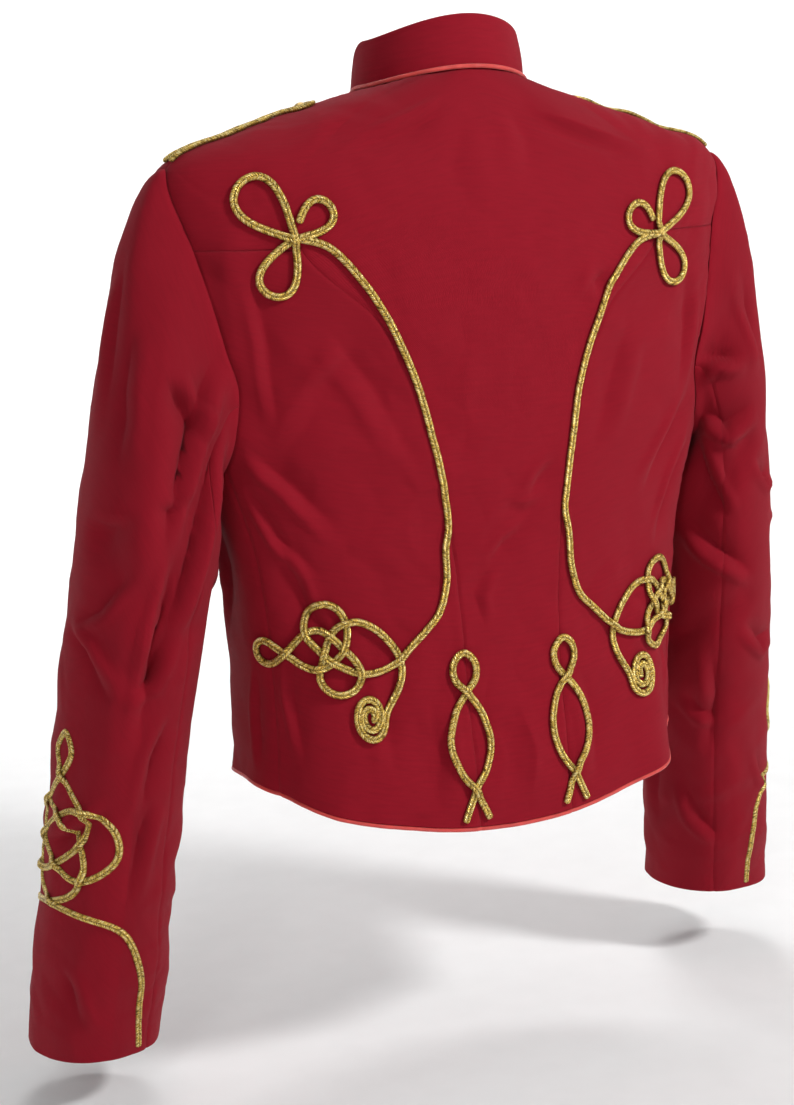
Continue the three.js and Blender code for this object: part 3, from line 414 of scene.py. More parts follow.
def crumple(points, size, seed):
    """Flat facets that meet in crisp creased lines, about as far apart as the given size."""
    flat = points.reshape(-1, 3) / size + seed
    slow, fast = np.sin(2.3 * flat[:, [1, 2, 0]] + seed), np.sin(5.1 * flat[:, [2, 0, 1]])
    flat = flat + 0.22 * slow + 0.1 * fast
    nearest = np.array([noise.voronoi(Vector(p))[0][:2] for p in flat])
    return (nearest[:, 1] - nearest[:, 0]).reshape(points.shape[:-1]) - 0.35


def creased_cotton(points, strength):
    """The crumpled look of thin cotton, stronger in some places than in others."""
    patch, ridge, trough = CRUMPLE_PATCHES, CRUMPLE_RIDGES, CRUMPLE_TROUGHS
    where = patch["middle"] + patch["swing"] * soft_noise(points, patch["size"], patch["seed"])
    where = np.clip(where, patch["least"], patch["most"])
    height = ridge["height"] * crumple(points, ridge["size"], ridge["seed"])
    height = height - trough["height"] * crumple(points, trough["size"], trough["seed"])
    return strength * where * height


# ---------------------------------------------------------------- body surface
def section(name, row):
    return between(SECTIONS, SECTION_COLUMNS, name, row)


def plain_body(angle, row):
    """The body's outer face without folds, at degrees round from the centre back and a row."""
    angle, row = np.broadcast_arrays(np.asarray(angle, float), np.asarray(row, float))
    x, y = superellipse(angle, section("square", row))
    rear = y >= 0
    z_end = np.where(rear, section("zBack", row), section("zFront", row))
    z_side = section("zSide", row)
    level = np.cos(np.radians(angle)) ** 2
    depth = np.where(rear, section("back", row), section("front", row))
    return np.stack([x * section("halfWidth", row), y * depth + section("middle", row),
                     z_side + (z_end - z_side) * level], axis=-1)


def folded_body(angle, row):
    """The body's outer face with its large folds, which the CAD panels have too."""
    point = plain_body(angle, row)
    height = fold_height(BODY_FOLDS, BODY_ARC, angle, point[..., 2])
    x, y = superellipse(angle, 2)
    point[..., 0] += x * height
    point[..., 1] += y * height
    return point


def normals_of(surface, angle, row, last):
    row = np.minimum(row, last - 0.01)
    here = surface(angle, row)
    return unit(np.cross(surface(angle, row + 0.01) - here, surface(angle + 0.5, row) - here))


def princess(row):
    return section("princess", row)


def armhole_half(row):
    """Half the armhole's width in degrees at a row, 0 above and below it."""
    c = np.clip((row - ARMHOLE["row"]) / ARMHOLE["halfRows"], -1, 1)
    return ARMHOLE["halfAngle"] * np.sqrt(1 - c * c) * (1 - ARMHOLE["droop"] * c)


def armhole_edge(turn):
    """Angle and row of the left armhole's edge: turn 0 is its top, 90 its back."""
    c, s = np.cos(np.radians(turn)), np.sin(np.radians(turn))
    angle = 90 - ARMHOLE["halfAngle"] * s * (1 - ARMHOLE["droop"] * c)
    return angle, ARMHOLE["row"] + ARMHOLE["halfRows"] * c


WEDGE_ROW = ARMHOLE["row"] + ARMHOLE["halfRows"] * math.cos(math.radians(WEDGE_TURN))


def side_seam(row):
    """The side seam, led to meet the armhole exactly."""
    aim = 90 - armhole_half(WEDGE_ROW) - section("sideSeam", WEDGE_ROW)
    ease = np.clip((row - (WEDGE_ROW - 0.8)) / 0.8, 0, 1)
    return section("sideSeam", row) + aim * ease**2 * (3 - 2 * ease)


def column_angle(column, row):
    """Degrees round at a column of the CAD lattice, which is 0 at the centre back."""
    side = np.sign(column)
    c = np.abs(column)
    p, s = princess(row), section("sideSeam", row)
    front = s + (180 - s) * (c - SIDE_COLUMN) / (FRONT_COLUMN - SIDE_COLUMN)
    flank = p + (s - p) * (c - PRINCESS_COLUMN) / (SIDE_COLUMN - PRINCESS_COLUMN)
    back = p * c / PRINCESS_COLUMN
    return side * np.where(c <= PRINCESS_COLUMN, back, np.where(c <= SIDE_COLUMN, flank, front))


# ---------------------------------------------------------------- sleeve surface
def armhole(arm, turn):
    """Places round an armhole, with x as on the left side."""
    angle, row = armhole_edge(turn)
    point = folded_body(SIDES[arm] * angle, row)
    point[..., 0] *= SIDES[arm]
    return point


ARMHOLE_MIDDLE = (armhole("left", 0.0) + armhole("left", 180.0)) / 2


def sleeve_tube(arm, turn, row):
    at = lambda name: between(ARMS[arm], ARM_COLUMNS, name, row)
    y, x = superellipse(turn, ARM_SQUARE)
    return np.stack([at("out") + x * at("wide"), at("back") + y * at("deep"), at("z") + 0 * x], axis=-1)


def plain_sleeve(arm, turn, row):
    """A sleeve's outer face, as on the left: row 0 to 1 is its cap, and the rest its tube."""
    turn, row = np.broadcast_arrays(np.asarray(turn, float), np.asarray(row, float))
    start = armhole(arm, turn)
    inwards = ARMHOLE_MIDDLE - start
    inwards[..., 0] = 0
    start = start + unit(inwards) * ARMHOLE_GAP
    end = sleeve_tube(arm, turn, 0 * row)
    up_sleeve = unit(end - sleeve_tube(arm, turn, 0 * row + 0.5))
    upper = 0.5 + 0.5 * np.cos(np.radians(turn))
    reach = CAP["least"] + (CAP["most"] - CAP["least"]) * upper
    first = start + np.stack([reach, 0 * reach, -CAP["drop"] * reach * upper], axis=-1)
    hang = CAP["hang"] * np.linalg.norm(end - start, axis=-1, keepdims=True)
    second = end + up_sleeve * hang
    t = np.clip(row, 0, 1)[..., None]
    u = 1 - t
    cap = start * u**3 + first * 3 * u * u * t + second * 3 * u * t * t + end * t**3
    return np.where((row >= 1)[..., None], sleeve_tube(arm, turn, row - 1), cap)


def folded_sleeve(arm, turn, row):
    point = plain_sleeve(arm, turn, row)
    height = np.clip(row * 2, 0, 1) * fold_height(SLEEVE_FOLDS[arm], SLEEVE_ARC, turn, point[..., 2])
    y, x = superellipse(turn, 2)
    point[..., 0] += x * height
    point[..., 1] += y * height
    return point


def last_sleeve_row(arm):
    return float(len(ARMS[arm]))


# ---------------------------------------------------------------- seams and the finished cloth
class SeamMap:
    """Draws cloth in along its seams, and puckers it beside them."""

    def __init__(self, lines):
        points = np.concatenate([self.spaced(line) for line in lines])
        self.tree = kdtree.KDTree(len(points))
        for k, p in enumerate(points):
            self.tree.insert(Vector(p), k)
        self.tree.balance()

    @staticmethod
    def spaced(line):
        run = run_along(line)
        at = np.arange(0, run[-1] + SEAM_SPACING, SEAM_SPACING)
        return np.stack([np.interp(at, run, line[:, k]) for k in range(3)], axis=1)

    def relief(self, points):
        flat = points.reshape(-1, 3)
        found = [self.tree.find(Vector(p)) for p in flat]
        away = np.array([f[2] for f in found])
        along = np.array([f[1] for f in found]) * SEAM_SPACING
        wave = (np.sin(along / 1.9 + 2.1 * np.sin(along / 13)) * (0.6 + 0.4 * np.sin(along / 29))
                + 0.5 * np.sin(along / 4.3 + 1.3))
        height = -SEAM_ROLL * bell(away, SEAM_ROLL_WIDTH)
        height += PUCKER * wave * bell(away, PUCKER_REACH) * (1 - bell(away, PUCKER_START))
        return height.reshape(points.shape[:-1])


def body_seam_lines():
    full = np.linspace(0, NECK, 700)
    low = np.linspace(0, YOKE, 500)
    lines = []
    for s in SIDES.values():
        lines.append(folded_body(s * princess(low), low))
        below = np.linspace(0, WEDGE_ROW, 400)
        lines.append(folded_body(s * side_seam(below), below))
        upper = full[full >= SHOULDER - 0.001]
        lines.append(folded_body(s * 90.0, upper))
        across = np.linspace(princess(YOKE), 90 - armhole_half(YOKE), 90)
        lines.append(folded_body(s * across, YOKE))
        hole, hole_rows = armhole_edge(np.linspace(0, 360, 500))
        lines.append(folded_body(s * hole, hole_rows))
    lines.append(folded_body(np.linspace(-180, 180, 500), float(NECK)))
    return lines


def sleeve_seam_lines(arm):
    rows = np.linspace(0, last_sleeve_row(arm), 600)
    lines = [folded_sleeve(arm, float(turn), rows) for turn in SLEEVE_SEAMS]
    return lines + [folded_sleeve(arm, np.linspace(0, 360, 500), 0.0)]


SEAMS = {}


def seam_map(name):
    if name not in SEAMS:
        SEAMS[name] = SeamMap(body_seam_lines() if name == "body" else sleeve_seam_lines(name))
    return SEAMS[name]


def body_cloth(angle, row):
    """Points and normals of the body's outer face, creased and drawn in at its seams."""
    point = folded_body(angle, row)
    normal = normals_of(folded_body, angle, row, NECK)
    height = settings().crease_depth * crease_height(BODY_CREASES, BODY_ARC, angle, point[..., 2])
    sides = np.clip(np.abs(angle) / BODY_CRUMPLE["by"], 0, 1)
    height = height + creased_cotton(point, BODY_CRUMPLE["back"] + BODY_CRUMPLE["sides"] * sides)
    height = height + seam_map("body").relief(point)
    return point + normal * height[..., None], normal


def sleeve_cloth(arm, turn, row):
    """Points and normals of a sleeve's outer face, creased and drawn in at its seams."""
    surface = lambda a, r: folded_sleeve(arm, a, r)
    point = surface(turn, row)
    normal = normals_of(surface, turn, row, last_sleeve_row(arm))
    height = crease_height(SLEEVE_CREASES[arm], SLEEVE_ARC, turn, point[..., 2], turns=True)
    below_seam = row * CAP_EASE
    height = SLEEVE_CREASING * settings().crease_depth * height * np.clip(below_seam, 0, 1)
    height = height + creased_cotton(point, SLEEVE_CRUMPLE) * np.clip(below_seam, 0.3, 1)
    height = height + seam_map(arm).relief(point)
    point = point + normal * height[..., None]
    mirror = np.array([SIDES[arm], 1, 1])
    return point * mirror, normal * mirror


# ---------------------------------------------------------------- mesh making
def run_lengths(points, axis):
    steps = np.linalg.norm(np.diff(points, axis=axis), axis=-1)
    pad = [(0, 0), (0, 0)]
    pad[axis] = (1, 0)
    return np.pad(np.cumsum(steps, axis=axis), pad)


def add_patch(bm, points, uvs=None, flip=False):
    """Lays a grid on a table of points, with runs in millimetres for its UV map."""
    down, across = points.shape[:2]
    made = bmesh.ops.create_grid(bm, x_segments=across - 1, y_segments=down - 1, size=0.5)["verts"]
    layer = bm.loops.layers.uv.get("UVMap") or bm.loops.layers.uv.new("UVMap")
    if uvs is None:
        uvs = np.stack([run_lengths(points, 1), run_lengths(points, 0)], axis=-1)
    places = {}
    for v in made:
        i = round((v.co.x + 0.5) * (across - 1))
        j = round((v.co.y + 0.5) * (down - 1))
        v.co = points[j, i] * MM
        places[v] = uvs[j, i] * MM
    faces = {f for v in made for f in v.link_faces}
    for f in faces:
        for corner in f.loops:
            corner[layer].uv = places[corner.vert]
    if flip:
        bmesh.ops.reverse_faces(bm, faces=list(faces))


def put_in_scene(name, bm, material):
    for face in bm.faces:
        face.smooth = True
    mesh = bpy.data.meshes.new(name)
    bm.to_mesh(mesh)
    bm.free()
    mesh.materials.append(material)
    obj = bpy.data.objects.new(name, mesh)
    bpy.context.scene.collection.objects.link(obj)
    return obj


def finish_piece(name, bm, material, node, merge=0.00002):
    """Closes a mesh, hands it to an object at the origin and ties that to the frame."""
    bmesh.ops.remove_doubles(bm, verts=bm.verts, dist=merge)
    bmesh.ops.dissolve_degenerate(bm, edges=bm.edges, dist=1e-6)
    obj = put_in_scene(name, bm, material)
    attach(obj, "root")
    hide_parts(node)
    return obj


def thicken(obj, wall):
    solid = obj.modifiers.new("wall", "SOLIDIFY")
    solid.thickness = wall * MM
    solid.offset = -1
    solid.use_even_offset = False
    solid.use_rim = True


def make_sheet(name, bm, wall):
    """A panel of red drill with its thickness."""
    obj = finish_piece(f"{name}_cloth", bm, red_drill(), name)
    thicken(obj, wall)


def seam_stops(length, step, low=True, high=True):
    """Shares of a length, closer together beside a seam."""
    near = np.array(SEAM_STOPS)
    start = near if low else near[:1]
    end = length - (near if high else near[:1])
    count = max(2, round((end.min() - start.max()) / step) + 1)
    middle = np.linspace(start.max(), end.min(), count)
    return np.unique(np.round(np.concatenate([start, middle, end]), 6)) / length


def shares_to(stops, low, high):
    """Angles for each row, at the given shares between two seams."""
    low, high = np.broadcast_arrays(low, high)
    return low[:, None] + (high - low)[:, None] * stops[None, :]


def settings():
    return bpy.context.scene.hussar_jacket


# ---------------------------------------------------------------- node helpers
class Nodes:
    """A short way to write a material's nodes and links."""

    def __init__(self, name):
        self.material = bpy.data.materials.new(name)
        self.material.use_nodes = True
        self.tree = self.material.node_tree
        self.tree.nodes.clear()
        self.surface = self.add("ShaderNodeBsdfPrincipled")
        out = self.add("ShaderNodeOutputMaterial")
        self.link(self.surface.outputs["BSDF"], out.inputs["Surface"])

    def add(self, kind, **values):
        node = self.tree.nodes.new(kind)
        for key, value in values.items():
            if key in node.inputs:
                self.put(value, node.inputs[key])
            else:
                setattr(node, key, value)
        return node

    def put(self, value, socket):
        if isinstance(value, bpy.types.NodeSocket):
            self.link(value, socket)
        else:
            socket.default_value = value

    def link(self, start, end):
        self.tree.links.new(start, end)

    def place(self, kind="UV", scale=(1, 1, 1), turn=0.0):
        where = self.add("ShaderNodeTexCoord")
        mapping = self.add("ShaderNodeMapping")
        mapping.inputs["Scale"].default_value = scale
        mapping.inputs["Rotation"].default_value = (0, 0, turn)
        self.link(where.outputs[kind], mapping.inputs["Vector"])
        return mapping.outputs["Vector"]

    def math(self, kind, a, b=0.0):
        node = self.add("ShaderNodeMath", operation=kind)
        self.put(a, node.inputs[0])
        self.put(b, node.inputs[1])
        return node.outputs[0]

    def noise(self, vector, scale, detail=2.0, roughness=0.5):
        node = self.add("ShaderNodeTexNoise", Scale=scale, Detail=detail, Roughness=roughness)
        self.link(vector, node.inputs["Vector"])
        return node.outputs["Fac"]

    def wave(self, vector, scale, distortion):
        node = self.add("ShaderNodeTexWave", Scale=scale, Distortion=distortion)
        self.link(vector, node.inputs["Vector"])
        return node.outputs["Fac"]

    def ramp(self, value, stops):
        node = self.add("ShaderNodeValToRGB")
        elements = node.color_ramp.elements
        while len(elements) < len(stops):
            elements.new(0.5)
        for element, (at, color) in zip(elements, stops):
            element.position = at
            element.color = (*color[:3], 1)
        self.link(value, node.inputs["Fac"])
        return node.outputs["Color"]

    def spread(self, value, low, high, from_low=0.0, from_high=1.0):
        node = self.add("ShaderNodeMapRange")
        node.inputs["From Min"].default_value = from_low
        node.inputs["From Max"].default_value = from_high
        node.inputs["To Min"].default_value = low
        node.inputs["To Max"].default_value = high
        self.link(value, node.inputs["Value"])
        return node.outputs["Result"]

    def mix(self, factor, a, b):
        node = self.add("ShaderNodeMix", data_type="RGBA")
        self.put(factor, node.inputs[0])
        self.put(a, node.inputs[6])
        self.put(b, node.inputs[7])
        return node.outputs[2]

    def bump(self, height, distance, strength, normal=None):
        node = self.add("ShaderNodeBump", Strength=strength, Distance=distance)
        self.link(height, node.inputs["Height"])
        if normal is not None:
            self.link(normal, node.inputs["Normal"])
        return node.outputs["Normal"]


def shade(color, factor):
    return tuple(min(1.0, c * factor) for c in color[:3]) + (1.0,)


def made_once(build):
    """Makes a material at its first use and hands out the same one after that."""
    made = []

    def get():
        if not made:
            made.append(build())
        return made[0]
    return get


@made_once
def red_drill():
    """Matt cotton drill: steep twill lines, slubs in the yarn and slightly uneven dye."""
    n = Nodes("drill_weave")
    color = tuple(settings().drill_colour)
    threads = n.wave(n.place(scale=(1000, 1000, 1), turn=0.95), 0.42, 0.6)
    weft = n.noise(n.place(scale=(90, 900, 1)), 1.0, 3.0)
    slub = n.noise(n.place(scale=(60, 420, 1)), 1.0, 2.0, 0.6)
    cloud = n.noise(n.place("Object", (1, 1, 1)), 7.0, 3.0)
    tone = n.ramp(slub, ((0.3, shade(color, 0.92)), (0.5, shade(color, 1.0)),
                         (0.72, shade(color, 1.08))))
    tone = n.mix(n.spread(cloud, 0.0, 0.45, 0.3, 0.7), tone, shade(color, 0.86))
    tone = n.mix(n.spread(threads, 0.0, 0.3), tone, shade(color, 0.78))
    n.link(tone, n.surface.inputs["Base Color"])
    n.link(n.spread(weft, 0.82, 0.95), n.surface.inputs["Roughness"])
    n.surface.inputs["Specular IOR Level"].default_value = 0.12
    n.surface.inputs["Sheen Weight"].default_value = 0.07
    n.surface.inputs["Sheen Roughness"].default_value = 0.5
    n.surface.inputs["Sheen Tint"].default_value = (1.0, 0.55, 0.58, 1)
    weave = n.math("ADD", n.math("MULTIPLY", threads, 0.7), n.math("MULTIPLY", weft, 0.6))
    rumple = n.noise(n.place("Object"), 55.0, 3.0)
    normal = n.bump(rumple, 0.0012, 0.35)
    n.link(n.bump(weave, 0.00022, 0.6, normal), n.surface.inputs["Normal"])
    return n.material


@made_once
def coral_piping():
    """Satin bias strip over a fine cord."""
    n = Nodes("piping_satin")
    color = tuple(settings().piping_colour)
    threads = n.wave(n.place(scale=(1000, 1000, 1), turn=0.7), 0.5, 0.4)
    uneven = n.noise(n.place("Object"), 120.0, 2.0)
    tone = n.ramp(uneven, ((0.3, shade(color, 0.82)), (0.7, shade(color, 1.1))))
    tone = n.mix(n.spread(threads, 0.0, 0.25), tone, shade(color, 0.7))
    n.link(tone, n.surface.inputs["Base Color"])
    n.link(n.spread(uneven, 0.42, 0.6), n.surface.inputs["Roughness"])
    n.surface.inputs["Sheen Weight"].default_value = 0.3
    n.surface.inputs["Sheen Roughness"].default_value = 0.35
    n.link(n.bump(threads, 0.00012, 0.5), n.surface.inputs["Normal"])
    return n.material


@made_once
def gold_cord():
    """Flat braid of metal yarn: strands slant from both ridges into the groove between them. Its colour
    has painted highlights and painted shade along the strands, and painted shade in the groove and along
    its edges.
    """
    n = Nodes("cord_metal_yarn")
    color = tuple(settings().cord_colour)
    groove = n.add("ShaderNodeAttribute", attribute_name="groove").outputs["Fac"]
    split = n.add("ShaderNodeSeparateXYZ")
    n.link(n.place(), split.inputs["Vector"])
    aside = n.math("ABSOLUTE", split.outputs["Y"])
    lay = n.add("ShaderNodeCombineXYZ")
    n.link(n.math("ADD", split.outputs["X"], n.math("MULTIPLY", aside, 0.8)), lay.inputs["X"])
    n.link(split.outputs["Y"], lay.inputs["Y"])
    along = n.add("ShaderNodeMapping")
    along.inputs["Scale"].default_value = (1000, 1000, 1)
    n.link(lay.outputs["Vector"], along.inputs["Vector"])
    strands = n.wave(along.outputs["Vector"], STRAND_WAVE, 0.8)
    stretched = n.add("ShaderNodeMapping")
    stretched.inputs["Scale"].default_value = (900, 260, 1)
    n.link(lay.outputs["Vector"], stretched.inputs["Vector"])
    glint = n.noise(stretched.outputs["Vector"], 1.0, 2.0, 0.6)
    speck = n.noise(n.place("Object"), 1500.0, 1.0)
    # Painted highlights and painted shade: the glint ramp paints pale highlight dashes and dark dashes
    # along the strands.
    tone = n.ramp(glint, ((0.36, shade(color, 0.12)), (0.43, shade(color, 0.6)),
                          (0.5, shade(color, 1.2)), (0.57, (1.0, 0.82, 0.34))))
    # Painted shade between the strands.
    tone = n.mix(n.spread(strands, 0.55, 0.0, 0.0, 0.35), tone, shade(color, 0.16))
    # Painted shade in the groove between the ridges, broken where the strands cross it.
    tone = n.mix(n.math("MULTIPLY", groove, n.spread(strands, 0.95, 0.4)), tone, shade(color, 0.1))
    # Painted shadow along both edges and the underside of the cord, where it lies on the cloth.
    tone = n.mix(n.spread(aside, 0.0, 0.7, 0.0019, 0.0028), tone, shade(color, 0.13))
    n.link(tone, n.surface.inputs["Base Color"])
    n.surface.inputs["Metallic"].default_value = 0.55
    n.link(n.spread(speck, 0.18, 0.4, 0.3, 0.7), n.surface.inputs["Roughness"])
    height = n.math("ADD", n.math("MULTIPLY", strands, 0.8), n.math("MULTIPLY", glint, 1.2))
    n.link(n.bump(height, 0.0005, 0.9), n.surface.inputs["Normal"])
    return n.material


@made_once
def gilt_button():
    """Gilt brass, rubbed unevenly, with fine scratches in its gloss."""
    n = Nodes("button_gilt")
    color = tuple(settings().gilt_colour)
    wear = n.noise(n.place("Object"), 420.0, 4.0)
    scratches = n.noise(n.place("Object", (300, 2600, 900)), 1.0, 2.0)
    tone = n.ramp(wear, ((0.3, shade(color, 0.72)), (0.65, shade(color, 1.08))))
    n.link(tone, n.surface.inputs["Base Color"])
    n.surface.inputs["Metallic"].default_value = 1.0
    n.link(n.spread(scratches, 0.2, 0.42), n.surface.inputs["Roughness"])
    n.link(n.bump(wear, 0.00015, 0.3), n.surface.inputs["Normal"])
    return n.material


# ---------------------------------------------------------------- body panels
def row_stops(low, high, step, low_seam=False, high_seam=False):
    """Rows between two places, at about the given spacing down the side back."""
    fine = np.linspace(low, high, 200)
    run = run_along(plain_body(45.0, fine))
    stops = seam_stops(run[-1], step, low_seam, high_seam) * run[-1]
    return np.interp(stops, run, fine)


def armhole_rows(low, high, step):
    """Rows beside the armhole, spaced evenly round its edge."""
    count = max(2, round(STRETCH["armhole"] / step))
    rows = ARMHOLE["row"] - ARMHOLE["halfRows"] * np.cos(np.linspace(0, math.pi, count))
    inside = rows[(rows > low + 0.004) & (rows < high - 0.004)]
    return np.concatenate([[low], inside, [high]])


def outer_edge(row):
    """Where the back's cloth ends: at the armhole's back edge, or on the shoulder at 90 degrees."""
    return np.where(row >= SHOULDER, 90.0, 90 - armhole_half(row))


def body_patch(bm, side, rows, low, high, stops):
    """Cloth between two seams, with a UV map that runs on from one patch to the next."""
    angle = shares_to(stops, low, high)
    points, _ = body_cloth(side * angle, np.repeat(rows[:, None], angle.shape[1], axis=1))
    across = run_lengths(points, 1)
    up = run_lengths(points, 0)
    uvs = np.stack([across + 3 * np.mean(angle[:, 0]), up + 51 * rows[0]], axis=-1)
    add_patch(bm, points, uvs, flip=side > 0)


def merged(*rows):
    return np.unique(np.concatenate(rows))


def hem_rows(step):
    return row_stops(0, ARMHOLE_FOOT, step, low_seam=True)


def neck_rows(step):
    return row_stops(SHOULDER, NECK, step * 0.7, high_seam=True)


def make_back_centre(step):
    bm = bmesh.new()
    rows = merged(hem_rows(step), armhole_rows(ARMHOLE_FOOT, YOKE, step),
                  armhole_rows(YOKE, SHOULDER, step), neck_rows(step))
    p = princess(rows)
    body_patch(bm, 1, rows, -p, p, seam_stops(STRETCH["back"], step))
    upper = rows[rows >= YOKE - 1e-9]
    wing = seam_stops(STRETCH["wing"], step)
    for side in SIDES.values():
        body_patch(bm, side, upper, princess(upper), outer_edge(upper), wing)
    make_sheet("back_centre", bm, settings().cloth)


def make_side_back(name, side, step):
    bm = bmesh.new()
    rows = merged(hem_rows(step), armhole_rows(ARMHOLE_FOOT, YOKE, step), [WEDGE_ROW])
    edge = np.where(rows > WEDGE_ROW, 90 - armhole_half(rows), side_seam(rows))
    body_patch(bm, side, rows, princess(rows), edge, seam_stops(STRETCH["side_back"], step))
    make_sheet(f"side_back_{name}", bm, settings().cloth)


def make_front(name, side, step):
    bm = bmesh.new()
    under_arm = seam_stops(STRETCH["under_arm"], step, high=False)
    chest = seam_stops(STRETCH["chest"], step, high=False)
    low_rows = hem_rows(step)
    wedge_rows = merged(armhole_rows(ARMHOLE_FOOT, WEDGE_ROW, step * 0.5))
    top_rows = merged(armhole_rows(ARMHOLE_FOOT, SHOULDER, step), neck_rows(step))
    body_patch(bm, side, low_rows, side_seam(low_rows), 90 + 0 * low_rows, under_arm)
    body_patch(bm, side, low_rows, 90 + 0 * low_rows, 180 + 0 * low_rows, chest)
    body_patch(bm, side, wedge_rows, side_seam(wedge_rows), 90 - armhole_half(wedge_rows), under_arm)
    edge = np.where(top_rows >= SHOULDER, 90.0, 90 + armhole_half(top_rows))
    body_patch(bm, side, top_rows, edge, 180 + 0 * top_rows, chest)
    make_sheet(f"front_{name}", bm, settings().cloth)


def make_sleeve(arm, step):
    first, second = SLEEVE_SEAMS
    last = last_sleeve_row(arm)
    cap = np.linspace(0, 1, round(STRETCH["cap"] / step))
    below = np.linspace(1, last, round(STRETCH["sleeve"] / step))
    beside_seam, beside_cuff = [0, 0.006, 0.013, 0.022, 0.034], [last - 0.03, last - 0.012]
    rows = merged(beside_seam, cap, below[1:], beside_cuff)
    for part, low, high in (("under", first, second), ("upper", second - 360, first)):
        bm = bmesh.new()
        stops = seam_stops(STRETCH[part], step)
        turn = shares_to(stops, np.full(len(rows), float(low)), np.full(len(rows), float(high)))
        points, _ = sleeve_cloth(arm, turn, np.repeat(rows[:, None], turn.shape[1], axis=1))
        add_patch(bm, points, flip=arm == "right")
        make_sheet(f"sleeve_{part}_{arm}", bm, settings().cloth)


# ---------------------------------------------------------------- collar, stand and piping
def level_at(sizes, angle):
    c = np.cos(np.radians(angle))
    return sizes["side"] + (np.where(c >= 0, sizes["back"], sizes["front"]) - sizes["side"]) * c * c


def neck_places(column):
    angle = column_angle(column, float(NECK))
    x, y = superellipse(angle, 2)
    return folded_body(angle, float(NECK)), angle, np.stack([x, y, 0 * x], axis=-1)


def make_collar(step):
    column = np.linspace(-COLLAR_END, COLLAR_END, round(STRETCH["collar"] / step))
    point, angle, outward = neck_places(column)
    beside_edges = [-0.07, -0.04, 0, 0.03, 0.07, 0.93, 0.97, 1]
    rise = merged(beside_edges, np.linspace(0, 1, round(STRETCH["collar_rise"] / step) + 1))
    height = level_at(COLLAR_HEIGHT, angle)
    upwards = np.array([0, 0, 1])
    rows = []
    for t in rise:
        edge = min(t, 1 - t) * STRETCH["collar_rise"]
        inwards = -COLLAR_LEAN * t * t - COLLAR_ROLL * bell(edge, COLLAR_ROLL_WIDTH)
        if t < 0:
            inwards = COLLAR_TUCK["start"] + COLLAR_TUCK["slope"] * t
        rows.append(point + outward * inwards + upwards * COLLAR_LIFT + upwards * (t * height)[:, None])
    points = np.array(rows)
    soft = 0.7 * soft_noise(points, 34, 2.0) + 0.25 * soft_noise(points, 12, 7.0)
    points = points + outward[None] * (soft * np.sin(math.pi * np.clip(rise, 0, 1))[:, None])[..., None]
    bm = bmesh.new()
    add_patch(bm, points, flip=True)
    make_sheet("collar", bm, COLLAR_CLOTH)


def make_front_stand(step):
    rows = row_stops(*STAND_ROWS, step)
    offset = np.linspace(-STAND_WIDTH / 2, STAND_WIDTH / 2, 13)
    beside_angle = column_angle(FRONT_COLUMN - 1.0, rows)
    centre, beside = folded_body(180.0, rows), folded_body(beside_angle, rows)
    degree = np.linalg.norm(centre - beside, axis=-1) / (180 - beside_angle)
    angle = 180 - offset[None, :] / degree[:, None]
    grid = np.repeat(rows[:, None], len(offset), axis=1)
    normal = normals_of(folded_body, angle, grid, NECK)
    point = folded_body(angle, grid)
    edge = STAND_WIDTH / 2 - np.abs(offset)
    lift = settings().cloth + SEAM_GAP + 0.5 * (1 - bell(edge, 1.5)) + 0.35 * soft_noise(point, 26, 4.0)
    bm = bmesh.new()
    add_patch(bm, point + normal * lift[..., None])
    make_sheet("front_stand", bm, settings().cloth)


def rounded_ends(run, reach):
    """Shares of a cord's thickness that close both of its ends as half rounds."""
    into = np.clip(np.minimum(run, run[-1] - run) / reach, 0, 1)
    return np.maximum(np.sqrt(np.clip(1 - (1 - into) ** 2, 0, 1)), 0.02)[:, None]


def tube_points(centres, across, up, wide, tall):
    """Rings of points round a line, from each ring's sideways and upward sizes."""
    return centres[:, None] + across[:, None] * wide[..., None] + up[:, None] * tall[..., None]


def close_tube(bm):
    bmesh.ops.remove_doubles(bm, verts=bm.verts, dist=0.00001)
    open_edges = [e for e in bm.edges if e.is_boundary]
    if open_edges:
        bmesh.ops.holes_fill(bm, edges=open_edges, sides=0)
    bmesh.ops.recalc_face_normals(bm, faces=bm.faces)


def make_piping(name, centres, across):
    """A round tube along a seam, drawn slightly uneven by its stitches."""
    bm = bmesh.new()
    up = np.broadcast_to(np.array([0.0, 0.0, 1.0]), centres.shape)
    around = np.linspace(0, 2 * math.pi, PIPING_SIDES + 1)
    run = run_along(centres)
    draws = PIPING_UNEVEN * np.sin(run / 2.3 + 1.5 * np.sin(run / 17)) * (0.6 + 0.4 * np.sin(run / 41))
    radius = PIPING_RADIUS * (1 + draws[:, None]) * rounded_ends(run, 1.0)
    points = tube_points(centres, across, up, np.cos(around) * radius, np.sin(around) * radius)
    turns = around[None] / (2 * math.pi) / MM
    add_patch(bm, points, np.stack(np.broadcast_arrays(turns, run[:, None]), axis=-1))
    close_tube(bm)
    obj = finish_piece(f"{name}_satin", bm, coral_piping(), name, merge=0.00001)


def piping_places():
    off = PIPING_RADIUS + 0.2
    column = np.linspace(-COLLAR_END, COLLAR_END, 320)
    point, _, outward = neck_places(column)
    collar = point + outward * (off - 0.7) + np.array([0, 0, off - 0.5])
    column = np.linspace(0.1 - FRONT_COLUMN, FRONT_COLUMN - 0.1, 760)
    angle = column_angle(column, 0.0)
    edge, normal = body_cloth(angle, 0 * angle)
    hem = edge - normal * settings().cloth / 2 + np.array([0, 0, -off + 0.1])
    across = normal * np.array([1, 1, 0])
    return {"collar_piping": (collar, outward), "hem_piping": (hem, unit(across))}


